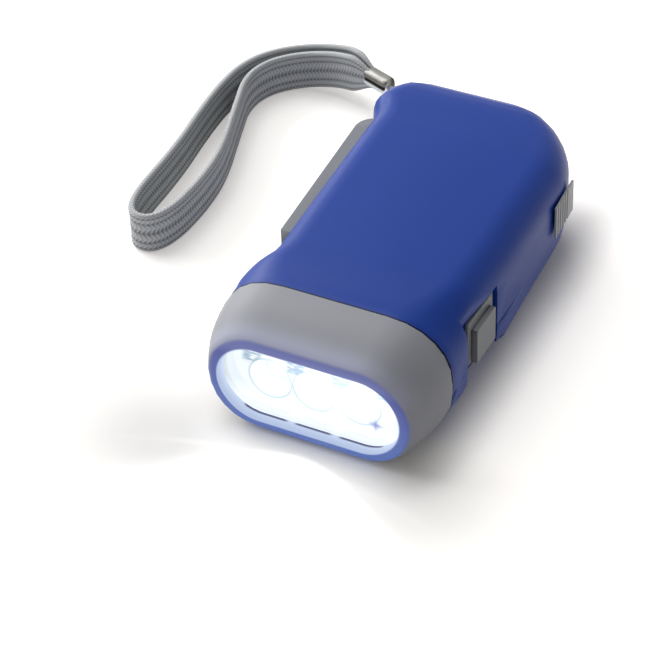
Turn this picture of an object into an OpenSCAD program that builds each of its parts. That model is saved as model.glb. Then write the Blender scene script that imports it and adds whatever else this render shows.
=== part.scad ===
// Squeeze-lever dynamo torch with three light-emitting diodes and a wrist strap.
// Millimetres. X points to the switch side, Y to the tail, Z up; the lens faces -Y
// and the torch rests on its flat underside at z = 0.

/* [Body] */
// Length of the torch from the front lip to the tail
body_length = 104; // [98:1:112]
// Height of the body at its tallest
body_height = 29.5; // [28:0.5:31]
// Distance from the middle to the flat right side
side_right = 26.2; // [25:0.1:27]
// How far the right side draws in towards the tail
side_taper = 1.9; // [1:0.1:2.2]
// Distance from the middle to the left side in front of the lever
waist_left = 23.1; // [22.9:0.1:24]
// Distance from the middle to the left side behind the lever
tail_left = 29.8; // [28.8:0.1:30.2]
// Corner radius of the tail on the right, seen from above
tail_round_right = 25; // [18:1:27]
// Corner radius of the tail on the left, seen from above
tail_round_left = 12.5; // [10:0.5:13]
// Rounding of the tail's upper and lower edges
tail_edge = 7; // [5:0.5:8.5]
// Corner size of the body's section on the right
side_round = 8; // [6:0.5:10]
// Width of the rounding above the lever
lever_side_round = 7.5; // [6:0.5:8]
// Height of the rounding above the lever
lever_side_drop = 9; // [8:0.5:10]
// Corner radius of the section below the lever
under_round = 4.5; // [3:0.5:6]
// Wall thickness of the shells
wall = 1.8; // [1.4:0.1:2.2]
// Height of the seam between the two shells
seam_z = 13; // [12:0.5:14]

/* [Head] */
// Length of the grey head shell
head_length = 14.8; // [13:0.2:17]
// Width of the head where it meets the shells
head_w = 54.5; // [53:0.5:57]
// Height of the head where it meets the shells
head_h = 29.1; // [28:0.1:30]
// Width of the front lip
lip_w = 47.8; // [46:0.2:50]
// Height of the front lip
lip_h = 23.8; // [22:0.2:26]
// Height of the lens axis above the rest face
lens_z = 12.6; // [12:0.2:14]
// Width of the face of the lip
lip_face = 2.4; // [2:0.1:3]
// Depth of the lens behind the lip
lens_depth = 2.8; // [2:0.1:4]
// Thickness of the lens
lens_t = 1.6; // [1.2:0.1:2]

/* [Lamps] */
// Distance between neighbouring lamps
led_pitch = 10.6; // [10.2:0.2:12]
// Diameter of a lamp's body
led_d = 5; // [3:0.5:5]
// Mouth diameter of a reflector cup
cup_d = 9.8; // [8.6:0.2:10]

/* [Squeeze lever] */
// Lever pivot, left of the middle
pivot_x = -20; // [-20.4:0.1:-19.6]
// Lever pivot, from the middle of the length
pivot_y = -18; // [-19:0.5:-17]
// Height of the lever's grip plate
lever_h = 18.5; // [16:0.5:19]
// Diameter of the lever pin
pin_d = 3; // [2.5:0.1:3.5]
// Angle through which the lever opens
lever_travel = 18; // [14:1:20]
// Play around the lever in its recess
lever_play = 0.5; // [0.3:0.1:0.8]

/* [Gears] */
// Module of the rack and of the pinion that it drives
rack_module = 1; // [0.96:0.01:1.02]
// Module of the first reduction
first_module = 0.8; // [0.76:0.01:0.8]
// Module of the second reduction
second_module = 0.6; // [0.56:0.01:0.6]
// Teeth on the large first gear
first_teeth = 36; // [33:1:36]
// Teeth on the large second gear
second_teeth = 40; // [36:1:40]
// Tooth play at the pitch circle of each gear
backlash = 0.08; // [0.05:0.01:0.12]
// Diameter of the gear axles
axle_d = 2; // [1.6:0.1:2.4]
// Running clearance around an axle or shaft
running = 0.05; // [0.02:0.01:0.1]

/* [Generator] */
// Diameter of the ring magnet
magnet_d = 13; // [11:0.5:14]
// Height of the ring magnet
magnet_h = 8; // [6:0.5:8]
// Outside diameter of the stator cups
stator_d = 23.4; // [22:0.2:24]
// Diameter of the rotor shaft
shaft_d = 1.5; // [1.2:0.1:2]

/* [Switch and lock] */
// Travel of the switch knob
switch_travel = 2.5; // [1.5:0.1:3]
// Travel of the lever lock
lock_travel = 4; // [3.5:0.1:4.5]
// Ribs on the lock slider
lock_ribs = 5; // [3:1:6]
// Turn of the lock slider, along the tapering flank, degrees
lock_turn = 4; // [2:0.5:4.5]

/* [Strap] */
// Width of the flat strap
strap_w = 10.5; // [8:0.5:12]
// Thickness of the flat strap
strap_t = 2.2; // [1.5:0.1:2.4]
// Diameter of the string that ties the strap on
string_d = 1.6; // [1.2:0.1:2]

/* [Hidden] */
$fn = 48;

blue = [0.12, 0.22, 0.62];
grey = [0.55, 0.56, 0.58];
steel = [0.75, 0.75, 0.77];
copper = [0.75, 0.42, 0.2];
board_green = [0.1, 0.4, 0.22];

front_y = -body_length / 2;
tail_y = body_length / 2;
joint_y = front_y + head_length;
fit = 0.15;                       // clearance of a sliding fit
touch = 0.02;                     // keeps seated round pieces from overlapping
corner_points = 7;                // points on each rounded corner of a section
corner_power = 2.2;               // a little fuller than an ellipse

// ---- outline of the body ----
function clamp01(t) = max(0, min(1, t));
function ease(t) = let (u = clamp01(t)) u * u * (3 - 2 * u);
function mix(a, b, t) = a + (b - a) * t;
// quarter-round run-in: the share of a radius that is lost near the end of a length
function lost(y, end, r) = let (d = max(0, y - (end - r))) r - sqrt(max(0, r * r - d * d));

pinion_teeth = 12;
rack_teeth = 100;                 // teeth on the rack's full circle
rack_r = rack_module * rack_teeth / 2;
rack_rim = rack_r + 3.3;
lever_start_y = pivot_y + 5;      // front end of the lever's grip plate
lever_end_y = pivot_y + rack_rim + 0.7; // rear end of the grip plate
waist_y = joint_y + 17.2;         // the head's flare has run out here
bulge_y = joint_y + 3.4;          // on the left the flare keeps its width up to here
left_waist_y = joint_y + 14.6;    // and has run out here
shoulder_y = joint_y + 12;        // the rounding above the lever has its own size from here
rear_waist = 3.3;                 // how much wider the left side is at the lever's end
rear_flare_y = [lever_end_y - 2, lever_end_y + 5.7]; // the tail's bulge behind the lever

function flare(y) = 1 - ease((y - joint_y) / (waist_y - joint_y));
function left_flare(y) = 1 - ease((y - bulge_y) / (left_waist_y - bulge_y));
function shoulder(y) = 1 - ease((y - joint_y) / (shoulder_y - joint_y));
function left_at(y) =
    let (side = waist_left + rear_waist * clamp01((y - left_waist_y) / (rear_flare_y[0] - left_waist_y)),
         rear = mix(side, tail_left, ease((y - rear_flare_y[0]) / (rear_flare_y[1] - rear_flare_y[0]))))
    mix(rear, head_w / 2, left_flare(y));
taper_y = waist_y + 14;           // the right side draws in from here to the tail
function right_at(y) =
    mix(side_right - side_taper * clamp01((y - taper_y) / (tail_y - taper_y)), head_w / 2, flare(y));
function top_at(y) = mix(body_height, head_h, flare(y)) - 0.9 * ease((y - 20) / 32);
function over_lever(y) = [mix(lever_side_round, 15, shoulder(y)), mix(lever_side_drop, 13.5, shoulder(y))];
function under_lever(y) =
    let (r = under_round + 1.5 * ease((y - 30) / 10)) [mix(r, 15, flare(y)), mix(r, 13.5, flare(y))];
function corner_right(y) = mix(side_round, 15, flare(y));
function corner_high(y) = mix(side_round, 13.5, flare(y));
function corner_low(y) = mix(side_round + 2 + 6 * clamp01((y + 12) / 37), 13.5, flare(y));

// one rounded corner: centre, sizes and the quadrant it lies in
function corner(cx, cz, rx, rz, start) = [
    for (i = [0 : corner_points - 1])
        let (a = start + 90 * i / (corner_points - 1), c = cos(a), s = sin(a))
            [cx + rx * sign(c) * pow(abs(c), 2 / corner_power),
             cz + rz * sign(s) * pow(abs(s), 2 / corner_power)]
];

// closed section of the body at y, drawn in by inset
function body_section(y, inset) =
    let (end = tail_y,
         l = -left_at(y) + inset + lost(y, end - inset, tail_round_left - inset),
         r = right_at(y) - inset - lost(y, end - inset, tail_round_right - inset),
         b = inset + lost(y, end - inset, tail_edge - inset),
         t = top_at(y) - inset - lost(y, end - inset, tail_edge - inset),
         wide = r - l, tall = t - b,
         rr = min(corner_right(y) - inset, wide * 0.45),
         ro = min(over_lever(y)[0] - inset, wide * 0.45),
         ru = min(under_lever(y)[0] - inset, wide * 0.45),
         hr = min(corner_high(y) - inset, tall * 0.43),
         hb = min(corner_low(y) - inset, tall * 0.55),
         ho = min(over_lever(y)[1] - inset, tall * 0.46),
         hu = min(under_lever(y)[1] - inset, tall * 0.46))
    [for (p = concat(corner(r - rr, t - hr, rr, hr, 0), corner(l + ro, t - ho, ro, ho, 90),
                     corner(l + ru, b + hu, ru, hu, 180), corner(r - rr, b + hb, rr, hb, 270)))
        [p[0], y, p[1]]];

// section of the head at y, between the lip and the joint
lip_roll = 1.2;                   // rounding of the lip's outer edge
function head_grow(y) = let (t = clamp01((y - front_y) / head_length)) 1 - pow(1 - t, 2.2);
function head_section(y) =
    let (g = head_grow(y),
         roll = lip_roll * pow(1 - clamp01((y - front_y) / lip_roll), 2) * 0.6,
         w = mix(lip_w, head_w, g) / 2 - roll, h = mix(lip_h, head_h, g) / 2 - roll,
         c = mix(lens_z, head_h / 2, g),
         rx = mix(lip_h / 2, 15, g) - roll, rz = min(mix(lip_h / 2, 13.5, g) - roll, h * 0.995))
    [for (p = concat(corner(w - rx, c + h - rz, rx, rz, 0), corner(rx - w, c + h - rz, rx, rz, 90),
                     corner(rx - w, c - h + rz, rx, rz, 180), corner(w - rx, c - h + rz, rx, rz, 270)))
        [p[0], y, p[1]]];

// skin a list of equal closed sections, running towards +Y
module loft(sections) {
    n = len(sections[0]);
    m = len(sections);
    polyhedron(
        points = [for (s = sections) for (p = s) p],
        faces = concat(
            [[for (i = [n - 1 : -1 : 0]) i]],
            [for (k = [0 : m - 2]) for (i = [0 : n - 1]) let (j = (i + 1) % n)
                each [[k * n + i, k * n + j, (k + 1) * n + i],
                      [k * n + j, (k + 1) * n + j, (k + 1) * n + i]]],
            [[for (i = [0 : n - 1]) (m - 1) * n + i]]),
        convexity = 6);
}

// stations along the body, closer together where it is rounded
function stations(start, inset) =
    let (bend = tail_y - tail_round_right * 0.9, end = tail_y - inset)
    concat([for (i = [0 : 8]) mix(start, waist_y, i / 8)],
           [taper_y, 12, 27],
           [for (i = [0 : 9]) bend + (end - bend) * sin(90 * i / 9) - (i == 9 ? 0.02 : 0)]);

module body_form(inset = 0, start = joint_y) {
    loft([for (y = stations(start, inset)) body_section(y, inset)]);
}

// ---- small helpers ----
// stadium standing in the XZ plane, from y0 to y1
module stadium(w, h, y0, y1) {
    translate([0, y1, lens_z]) rotate([90, 0, 0]) linear_extrude(y1 - y0) {
        square([w - h, h], center = true);
        for (s = [-1, 1]) translate([s * (w - h) / 2, 0]) circle(d = h, $fn = 64);
    }
}
module box(low, high) {
    translate(low) cube(high - low);
}
module rod(at, d, z0, z1) {
    translate([at[0], at[1], z0]) cylinder(d = d, h = z1 - z0);
}
module tube(at, d_out, d_in, z0, z1) {
    difference() {
        rod(at, d_out, z0, z1);
        rod(at, d_in, z0 - 1, z1 + 1);
    }
}

// ---- head: lip, lens, reflector, lamps ----
open_w = lip_w - 2 * lip_face;
open_h = lip_h - 2 * lip_face;
pocket_w = open_w + 2.4;
pocket_h = open_h + 2.4;
lens_y = front_y + lens_depth;
reflector_y = lens_y + lens_t;
spigot_y = joint_y - 4.8;         // front end of the shells' spigot
board_y = joint_y + 1;            // front face of the lamp board
board_t = 1.2;
spigot_wall = 1.5;
tube_w = pocket_w - 2 * fit;
tube_h = pocket_h - 2 * fit;
bore_w = tube_w - 2 * spigot_wall;
bore_h = tube_h - 2 * spigot_wall;
led_z = lens_z;
led_x = [-led_pitch, 0, led_pitch];
led_tip_y = reflector_y + 2.6;
lead_gap = 2.54;

// ---- lever, rack and gear train ----
pivot = [pivot_x, pivot_y];
knuckle_d = 8;
recess_floor_x = -21;             // inner face of the lever's recess
pin_seat = 1.1;                   // how far the lever pin goes into the top shell
lever_low = 5;
lever_high = lever_low + lever_h;
recess_low = lever_low - 0.7;
recess_high = lever_high + 0.6;
floor_z = wall;                   // inside of the bottom shell
roof_z = body_height - wall;      // inside of the top shell
stator_low = floor_z + 1.8;
plate_high = roof_z - 2.2;
plate_low = plate_high - 1.5;
// heights in the gear train, as shares of the room between the stator's foot and the gear plate
function level(share) = mix(stator_low, plate_low, share);
rack_low = level(0.29);
rack_high = level(0.485);
rack_from = 96;                   // rack sector, degrees from +X about the pivot
rack_to = 41;
pressure = 25;
mesh_dir = 65;                    // direction of the first axle from the pivot
first_dir = -65.4;                // direction of the second axle from the first
second_dir = 219.7;               // direction of the rotor from the second axle
first_at = pivot + (rack_r - rack_module * pinion_teeth / 2) * [cos(mesh_dir), sin(mesh_dir)];
first_centres = first_module * (first_teeth + pinion_teeth) / 2;
second_at = first_at + first_centres * [cos(first_dir), sin(first_dir)];
second_centres = second_module * (second_teeth + pinion_teeth) / 2;
rotor_at = second_at + second_centres * [cos(second_dir), sin(second_dir)];
pinion_low = level(0.265);
first_low = level(0.535);
first_high = level(0.68);
second_low = level(0.78);
second_high = level(0.9);
axle_top = plate_high - 0.3;

// angles that put each wheel's teeth into its partner's gaps
rack_pitch = 360 / rack_teeth;
pinion_pitch = 360 / pinion_teeth;
space_angle = 90 + rack_pitch / 2;
first_pinion_turn = mesh_dir - pinion_pitch * (mesh_dir - space_angle) / rack_pitch;
function mesh_turn(dir, n1, turn1, n2) =
    dir + 180 - (0.5 - (dir - turn1) * n1 / 360) * 360 / n2;
first_gear_turn = first_pinion_turn;
second_pinion_turn = mesh_turn(first_dir, first_teeth, first_gear_turn, pinion_teeth);
second_gear_turn = second_pinion_turn;
rotor_turn = mesh_turn(second_dir, second_teeth, second_gear_turn, pinion_teeth);

// ---- involute teeth ----
function inv(a) = tan(a) * 180 / PI - a;
function base_r(n, m) = m * n / 2 * cos(pressure);
// half the angle that a tooth fills at radius r
function tooth_half(r, n, m, thin) =
    (PI * m / 2 - thin) / (n * m) * 180 / PI + inv(pressure)
    - inv(acos(min(1, base_r(n, m) / max(r, base_r(n, m)))));
// outline of the teeth k0 to k1, from the root of the first to the root of the last
function teeth(n, m, add, ded, thin, turn, k0, k1) =
    let (root = m * n / 2 - ded, tip = m * n / 2 + add, low = max(root, base_r(n, m)), steps = 4,
         foot = tooth_half(low, n, m, thin))
    [for (k = [k0 : k1]) let (a = turn + k * 360 / n) each concat(
        low > root ? [root * [cos(a - foot), sin(a - foot)]] : [],
        [for (i = [0 : steps]) let (r = mix(low, tip, i / steps), h = tooth_half(r, n, m, thin))
            r * [cos(a - h), sin(a - h)]],
        [for (i = [steps : -1 : 0]) let (r = mix(low, tip, i / steps), h = tooth_half(r, n, m, thin))
            r * [cos(a + h), sin(a + h)]],
        low > root ? [root * [cos(a + foot), sin(a + foot)]] : [])];
module wheel(at, n, m, turn, z0, z1, add = 0.9) {
    translate([at[0], at[1], z0]) linear_extrude(z1 - z0)
        polygon(teeth(n, m, add * m, 1.2 * m, backlash, turn, 0, n - 1));
}

// ---- switch and lock ----
knob_face = side_right + 0.8;     // outer face of the switch paddle
niche_x = side_right - 1.9;       // floor of the switch niche
foot_x = niche_x - 3.8;           // the niche is deeper below the knob
foot_z = 10.2;                    // height of that deeper part
foot_r = 8;                       // it runs out into the flank behind with this radius
niche_y = [joint_y + 8.9, joint_y + 25.4];
niche_top = body_height - 5.9;
knob_y = [niche_y[0] + switch_travel + 0.4, niche_y[1] - 0.8];
knob_z = [foot_z + 0.6, niche_top - 1.2];
paddle_y = [knob_y[0] + 1.2, knob_y[1] - 1.8];
paddle_z = [knob_z[0] + 0.5, knob_z[1] - 2.2];
knob_foot_y = [knob_y[0] + 4.4, knob_y[0] + 8.4];
knob_foot_z = [13.5, 17.5];
lock_y = [pivot_y + 39, pivot_y + 51];
lock_z = [14, body_height - 7.2];
lock_back_x = side_right - 0.4;   // the slider's plate runs just outside the flank
lock_face = lock_back_x + 0.55;
lock_rib = 0.8;                   // width of a rib, and of a groove
lock_groove = 0.25;
lock_in_x = [side_right - 5.2, side_right - 3.6];
lock_slot_z = [lock_z[1] - 4.3, lock_z[1] - 1.3];
lock_stem_y = [lock_y[0] + 4.6, lock_y[0] + 7.6];
bolt_x = [18, 19.6];
bolt_y = [lock_y[0] + 3.2, lock_y[0] + 5.2];
catch_r = 55.8;                   // reach of the catch at the end of the rack

// ---- tail, string and strap ----
cord_post = [-18.4, tail_y - 8.6]; // string post in the left rear corner
// the points below are measured from the tail
crimp_from = [-45.2, 17.8, 10.1];
crimp_to = [-35.8, 13.9, 10.3];
string_path = [
    [-16.3, -6.9, seam_z], [-15.7, -8.8, seam_z], [-16.7, -10.7, seam_z], [-18.6, -11.3, seam_z],
    [-20.5, -10.3, seam_z], [-21.1, -8.4, seam_z], [-20.9, -6, seam_z], [-21, -3.6, seam_z],
    [-22.2, -1, seam_z], [-23.5, 1.4, seam_z], [-26.5, 5.6, 12.6], [-29.8, 9.2, 11.8],
    [-33, 12, 10.8], [-35.8, 13.9, 10.3], [-38.4, 15, 10.2],
];
// middle line of the strap, from the crimp round the loop and back to the crimp
strap_path = [
    [-41.2, 17, 10.2], [-44.9, 18.5, 10.1], [-49, 21, 9.4], [-53, 23, 8.6], [-58, 24, 7.4], [-63, 23.9, 6.4],
    [-68, 22.2, 5.7], [-72.3, 18.8, 5.5], [-75.6, 14, 5.5], [-77.5, 8, 5.5], [-78, 1, 5.5],
    [-77.6, -7, 5.5], [-76.6, -16, 5.5], [-75.4, -25, 5.5], [-74.6, -34, 5.5], [-74.2, -42, 5.5],
    [-73.7, -49, 5.5], [-72.4, -54.6, 5.5], [-69.9, -57.8, 5.5], [-66.6, -58, 5.5], [-64.2, -55.4, 5.5],
    [-62.8, -50.4, 5.5], [-62.4, -44, 5.5], [-62.6, -37, 5.5], [-63.6, -29, 5.5], [-65.6, -21, 5.5],
    [-68.2, -13, 5.5], [-70.8, -5, 5.5], [-72.9, 2, 5.5], [-73.2, 8, 5.5], [-71.6, 13.2, 5.5],
    [-68.6, 17, 5.6], [-64.8, 19.4, 6], [-60.4, 20.4, 6.8], [-55.6, 20.2, 7.9], [-50.6, 18.8, 9.1],
    [-45.5, 17.1, 10], [-41.8, 15.6, 10.2],
];

// ---- screws and posts ----
board_front = joint_y + 4.2;      // charging board
board_rear = rotor_at[1] - 5.1;
case_posts = [[-13, joint_y + 6.8], [15.5, joint_y + 6.2], [13.5, tail_y - 14], [-9, tail_y - 8]];
plate_posts = [[19.2, pivot_y + 13], [-15, pivot_y + 27], [6, pivot_y + 58]];
post_d = 5.4;
foot_d = 6.6;
screw_d = 2;
head_d = 4;
head_seat = 4;                    // depth of the counterbores in the underside
small_post_d = 4.2;
small_screw_d = 1.6;
small_head_d = 3;
board_posts = [
    [-6.4, rotor_at[1] - (stator_d + small_post_d) / 2 - 1.6],
    [-6.4, board_front + 2],
    [10, board_rear - 2],
];
// height at which a post of the top shell ends, inside the roof's wall
function post_top(at) = top_at(at[1]) - lost(at[1], tail_y, tail_edge) - wall * 0.65;

// ---- shells ----
// plan of the lever's recess, grown by g
module recess_plan(g) {
    translate([-60, lever_start_y - 1 - g])
        square([60 + recess_floor_x + g, lever_end_y + lever_play - lever_start_y + 1 + 2 * g]);
    translate(pivot) circle(d = knuckle_d + 2 * lever_play + 2 * g);
    translate([-60, pivot_y - g]) square([60 + pivot_x - 1 + g, lever_start_y - pivot_y + g]);
}
module recess(g = 0) {
    translate([0, 0, recess_low - g])
        linear_extrude(recess_high - recess_low + 2 * g) recess_plan(g);
}
module niche(g = 0) {
    box([niche_x - g, niche_y[0] - g, -1], [40, niche_y[1] + g, niche_top + g]);
    box([foot_x - g, niche_y[0] - g, -1], [40, niche_y[1] + g, foot_z + g]);
    translate([foot_x - g, niche_y[1], 0]) rotate([0, 90, 0]) cylinder(r = foot_r + g, h = 40);
}
// steep facet above the niche, widest at its front end
module niche_facet() {
    intersection() {
        translate([side_right - 1.8, niche_y[0] + 1.1, niche_top + 3.2])
            rotate([0, 0, -4.5]) rotate([0, -10.6, 0]) box([0, -4, -5], [12, 20, 8]);
        box([0, niche_y[0], niche_top - 1], [40, niche_y[1], 40]);
    }
}
module interior() {
    difference() {
        body_form(wall, joint_y + wall);
        recess(1.6);
        rod(pivot, knuckle_d + 5, 0, 30);
        niche(1.5);
    }
}
module rack_slot() {
    intersection() {
        translate([pivot_x, pivot_y, rack_low - 0.5]) difference() {
            cylinder(r = rack_rim + 0.5, h = rack_high - rack_low + 1, $fn = 96);
            translate([0, 0, -1]) cylinder(r = rack_r - 1.4, h = 8, $fn = 96);
        }
        box([recess_floor_x - 1, 20, 0], [recess_floor_x + 3, 45, 30]);
    }
}
module string_hole() {
    translate([-19.9, tail_y - 5.6, seam_z]) rotate([0, 0, 27]) rotate([-90, 0, 0])
        translate([0, 0, -1.2]) cylinder(d = string_d + 1, h = 9);
}
module hull_of_shells() {
    difference() {
        union() {
            difference() {
                body_form();
                interior();
            }
            stadium(tube_w, tube_h, spigot_y, joint_y + 3);
        }
        recess();
        rack_slot();
        niche();
        niche_facet();
        stadium(bore_w, bore_h, spigot_y - 1, joint_y + 4);
        box([niche_x - 3, knob_foot_y[0] - switch_travel - 0.3, knob_foot_z[0] - 0.2],
            [niche_x + 1, knob_foot_y[1] + 0.3, knob_foot_z[1] + 0.2]);
        along_flank() box([20, lock_stem_y[0] - lock_travel - 0.3, lock_slot_z[0]],
            [30, lock_stem_y[1] + 0.3, lock_slot_z[1]]);
        string_hole();
    }
}
module pivot_bore() {
    rod(pivot, pin_d + 2 * touch, 2.1, recess_high + pin_seat + 0.1);
}

module top_shell() {
    color(blue) difference() {
        union() {
            intersection() {
                hull_of_shells();
                box([-60, front_y, seam_z], [60, 60, 40]);
            }
            for (p = case_posts) rod(p, post_d, seam_z, post_top(p));
            rod(cord_post, 3.2, seam_z, post_top(cord_post));
        }
        for (p = case_posts) rod(p, screw_d + 2 * touch, seam_z - 1, 20.2);
        pivot_bore();
        rod(pivot + [0, -3], 1.1, recess_high - 1, recess_high + 1.8);
    }
}

module bottom_shell() {
    color(blue) difference() {
        union() {
            intersection() {
                hull_of_shells();
                box([-60, front_y, -1], [60, 60, seam_z]);
            }
            for (p = case_posts) rod(p, foot_d, 1, seam_z);
            for (p = plate_posts) rod(p, small_post_d, 1, plate_low);
            for (p = board_posts) rod(p, small_post_d, 1, charge_z);
            rod(cord_post, 3.2, 1, seam_z);
            rod(first_at, 4.6, 1, pinion_low - 0.2);
            rod(second_at, 4.6, 1, first_low - 0.7);
            rod(rotor_at, 4.6, 1, floor_z + 1.4);
            for (s = [-1, 1]) {
                box([rotor_at[0] + s * 9.6 - 1, rotor_at[1] - 4, 1],
                    [rotor_at[0] + s * 9.6 + 1, rotor_at[1] + 4, stator_low - touch]);
                box([cell_at[0] - 5, cell_at[1] + s * 5.5 - 0.6, 1],
                    [cell_at[0] + 5, cell_at[1] + s * 5.5 + 0.6, cell_z]);
            }
            box([foot_x - 3.4, switch_y[0] + 5.4, 1], [foot_x - 1, switch_y[0] + 7.4, switch_z[0]]);
        }
        for (p = case_posts) {
            rod(p, head_d + 0.4, -1, head_seat);
            rod(p, screw_d + 0.3, head_seat - 1, seam_z + 1);
        }
        for (p = plate_posts) rod(p, small_screw_d + 2 * touch, plate_low - 9, plate_low + 1);
        for (p = board_posts) rod(p, small_screw_d + 2 * touch, charge_z - 7, charge_z + 1);
        rod(first_at, axle_d + 2 * touch, 1.4, 20);
        rod(second_at, axle_d + 2 * touch, 1.4, 20);
        rod(rotor_at, shaft_d + 2 * running, 1.4, 20);
        pivot_bore();
    }
}

// ---- head ----
head_stations = [0, 0.15, 0.45, 0.9, 1.5, 2.5, 4, 6, 8.5, 11.5];
module head_shell() {
    color(grey) difference() {
        loft([for (d = concat(head_stations, [head_length])) head_section(front_y + d)]);
        stadium(open_w, open_h, front_y - 1, lens_y + 1);
        stadium(pocket_w, pocket_h, lens_y, joint_y + 1);
    }
}
module lens() {
    color([0.9, 0.95, 1, 0.4]) stadium(tube_w, tube_h, lens_y + touch, reflector_y);
}
reflector_back = joint_y - 0.6;
module reflector() {
    color(steel) difference() {
        union() {
            stadium(tube_w, tube_h, reflector_y + touch, spigot_y - 0.1);
            stadium(bore_w - 2 * fit, bore_h - 2 * fit, spigot_y - 0.2, reflector_back);
        }
        for (x = led_x) translate([x, reflector_y, led_z]) rotate([-90, 0, 0]) {
            translate([0, 0, -0.01]) cylinder(d1 = cup_d, d2 = led_d + 0.4, h = 6.6);
            cylinder(d = led_d + 0.4, h = 20);
        }
    }
}
led_flange = 1;
module lamp(x) {
    color([0.95, 0.97, 1, 0.7]) translate([x, 0, led_z]) rotate([-90, 0, 0]) {
        translate([0, 0, board_y - led_flange - touch]) cylinder(d = led_d + 0.8, h = led_flange);
        translate([0, 0, led_tip_y + led_d / 2])
            cylinder(d = led_d, h = board_y - 0.5 - led_tip_y - led_d / 2);
        translate([0, 0, led_tip_y + led_d / 2]) sphere(d = led_d);
        for (s = [-1, 1]) translate([s * lead_gap / 2, 0, board_y - 0.5])
            cylinder(d = 0.5, h = board_t + 1.1, $fn = 16);
    }
}
module led_left() lamp(led_x[0]);
module led_middle() lamp(led_x[1]);
module led_right() lamp(led_x[2]);
module led_board() {
    color(board_green) difference() {
        stadium(bore_w - 4 * fit, bore_h - 4 * fit, board_y, board_y + board_t);
        for (x = led_x) for (s = [-1, 1])
            translate([x + s * lead_gap / 2, board_y - 1, led_z]) rotate([-90, 0, 0])
                cylinder(d = 0.7, h = 4, $fn = 16);
    }
}

// ---- squeeze lever ----
grip_front = 26.2;                // outer face at the front end
grip_rear = 29.4;                 // outer face at the rear end
grip_round = 5;
grip_wall = 2;
knuckle_low = 6;
knuckle_high = 20;
module grip_plan() {
    round_y = lever_end_y - grip_round;
    inner_x = recess_floor_x - 0.4;
    polygon([[inner_x, lever_start_y], [-grip_front, lever_start_y],
             [-grip_rear, round_y], [inner_x, round_y]]);
    intersection() {
        translate([grip_round - grip_rear, round_y]) circle(r = grip_round);
        translate([-40, round_y - 1]) square([40 + grip_round - grip_rear, grip_round + 2]);
    }
    translate([grip_round - grip_rear, round_y]) square([grip_rear - grip_round + inner_x, grip_round]);
}
module rack() {
    ring_teeth = [floor((rack_to - space_angle) / rack_pitch) - 1, floor((88 - space_angle) / rack_pitch)];
    spaces = teeth(rack_teeth, rack_module, 1.25 * rack_module, 0.7 * rack_module, -backlash,
                   space_angle, ring_teeth[0], ring_teeth[1]);
    reach = rack_rim + 12;
    translate([pivot_x, pivot_y, rack_low]) linear_extrude(rack_high - rack_low) intersection() {
        union() {
            difference() {
                circle(r = rack_rim, $fn = 128);
                circle(r = rack_r - 0.7 * rack_module, $fn = 128);
                polygon(concat(spaces, [[0, 0]]));
            }
            intersection() {
                difference() {
                    circle(r = catch_r, $fn = 128);
                    circle(r = rack_rim - 0.5, $fn = 128);
                }
                polygon([[0, 0], reach * [cos(rack_to), sin(rack_to)],
                         reach * [cos(rack_to + 2.6), sin(rack_to + 2.6)]]);
            }
        }
        polygon([[0, 0], reach * [cos(rack_to), sin(rack_to)], reach * 1.2 * [cos(68), sin(68)],
                 reach * [cos(rack_from), sin(rack_from)]]);
    }
}
module squeeze_lever() {
    color(grey) difference() {
        union() {
            difference() {
                translate([0, 0, lever_low]) linear_extrude(lever_h) grip_plan();
                translate([0, 0, lever_low + grip_wall]) linear_extrude(lever_h - 2 * grip_wall)
                    polygon([[-grip_front + grip_wall + 0.2, lever_start_y + grip_wall],
                             [-grip_rear + grip_wall + 0.4, lever_end_y - grip_round],
                             [recess_floor_x + 1, lever_end_y - grip_round],
                             [recess_floor_x + 1, lever_start_y + grip_wall]]);
            }
            rod(pivot, knuckle_d, knuckle_low, knuckle_high);
            translate([0, 0, knuckle_low]) linear_extrude(knuckle_high - knuckle_low)
                polygon([pivot + [-1.4, 3.6], pivot + [-3.9, -0.6], [-grip_front, lever_start_y + 0.5],
                         [recess_floor_x - 0.4, lever_start_y + 0.5]]);
            rack();
            for (z = [lever_low + 4.2, lever_low + lever_h - 4.2])
                translate([0, 0, z - 0.6]) linear_extrude(1.2)
                    polygon([[-grip_front + 1, lever_start_y + 1], [-grip_rear + 1, lever_end_y - grip_round],
                             [-grip_rear + 4, lever_end_y - grip_round],
                             [-grip_front + 2.6, lever_start_y + 1]]);
        }
        rod(pivot, pin_d + 2 * running, 0, 30);
        rod(pivot + [0, 3], 1.1, knuckle_high - 3, knuckle_high + 1);
    }
}
module lever_pin() {
    color(steel) rod(pivot, pin_d, 2.2, recess_high + pin_seat);
}
spring_wire = 0.8;
spring_r = 3;
module return_spring() {
    color(steel) {
        for (i = [0 : 3]) translate([pivot_x, pivot_y, knuckle_high + 0.7 + i * 0.78])
            rotate_extrude($fn = 32) translate([spring_r, 0]) circle(d = spring_wire, $fn = 16);
        rod(pivot + [0, spring_r], spring_wire, knuckle_high - 2.8, knuckle_high + 0.7);
        rod(pivot + [0, -spring_r], spring_wire, knuckle_high + 3, recess_high + 1.5);
    }
}

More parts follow.
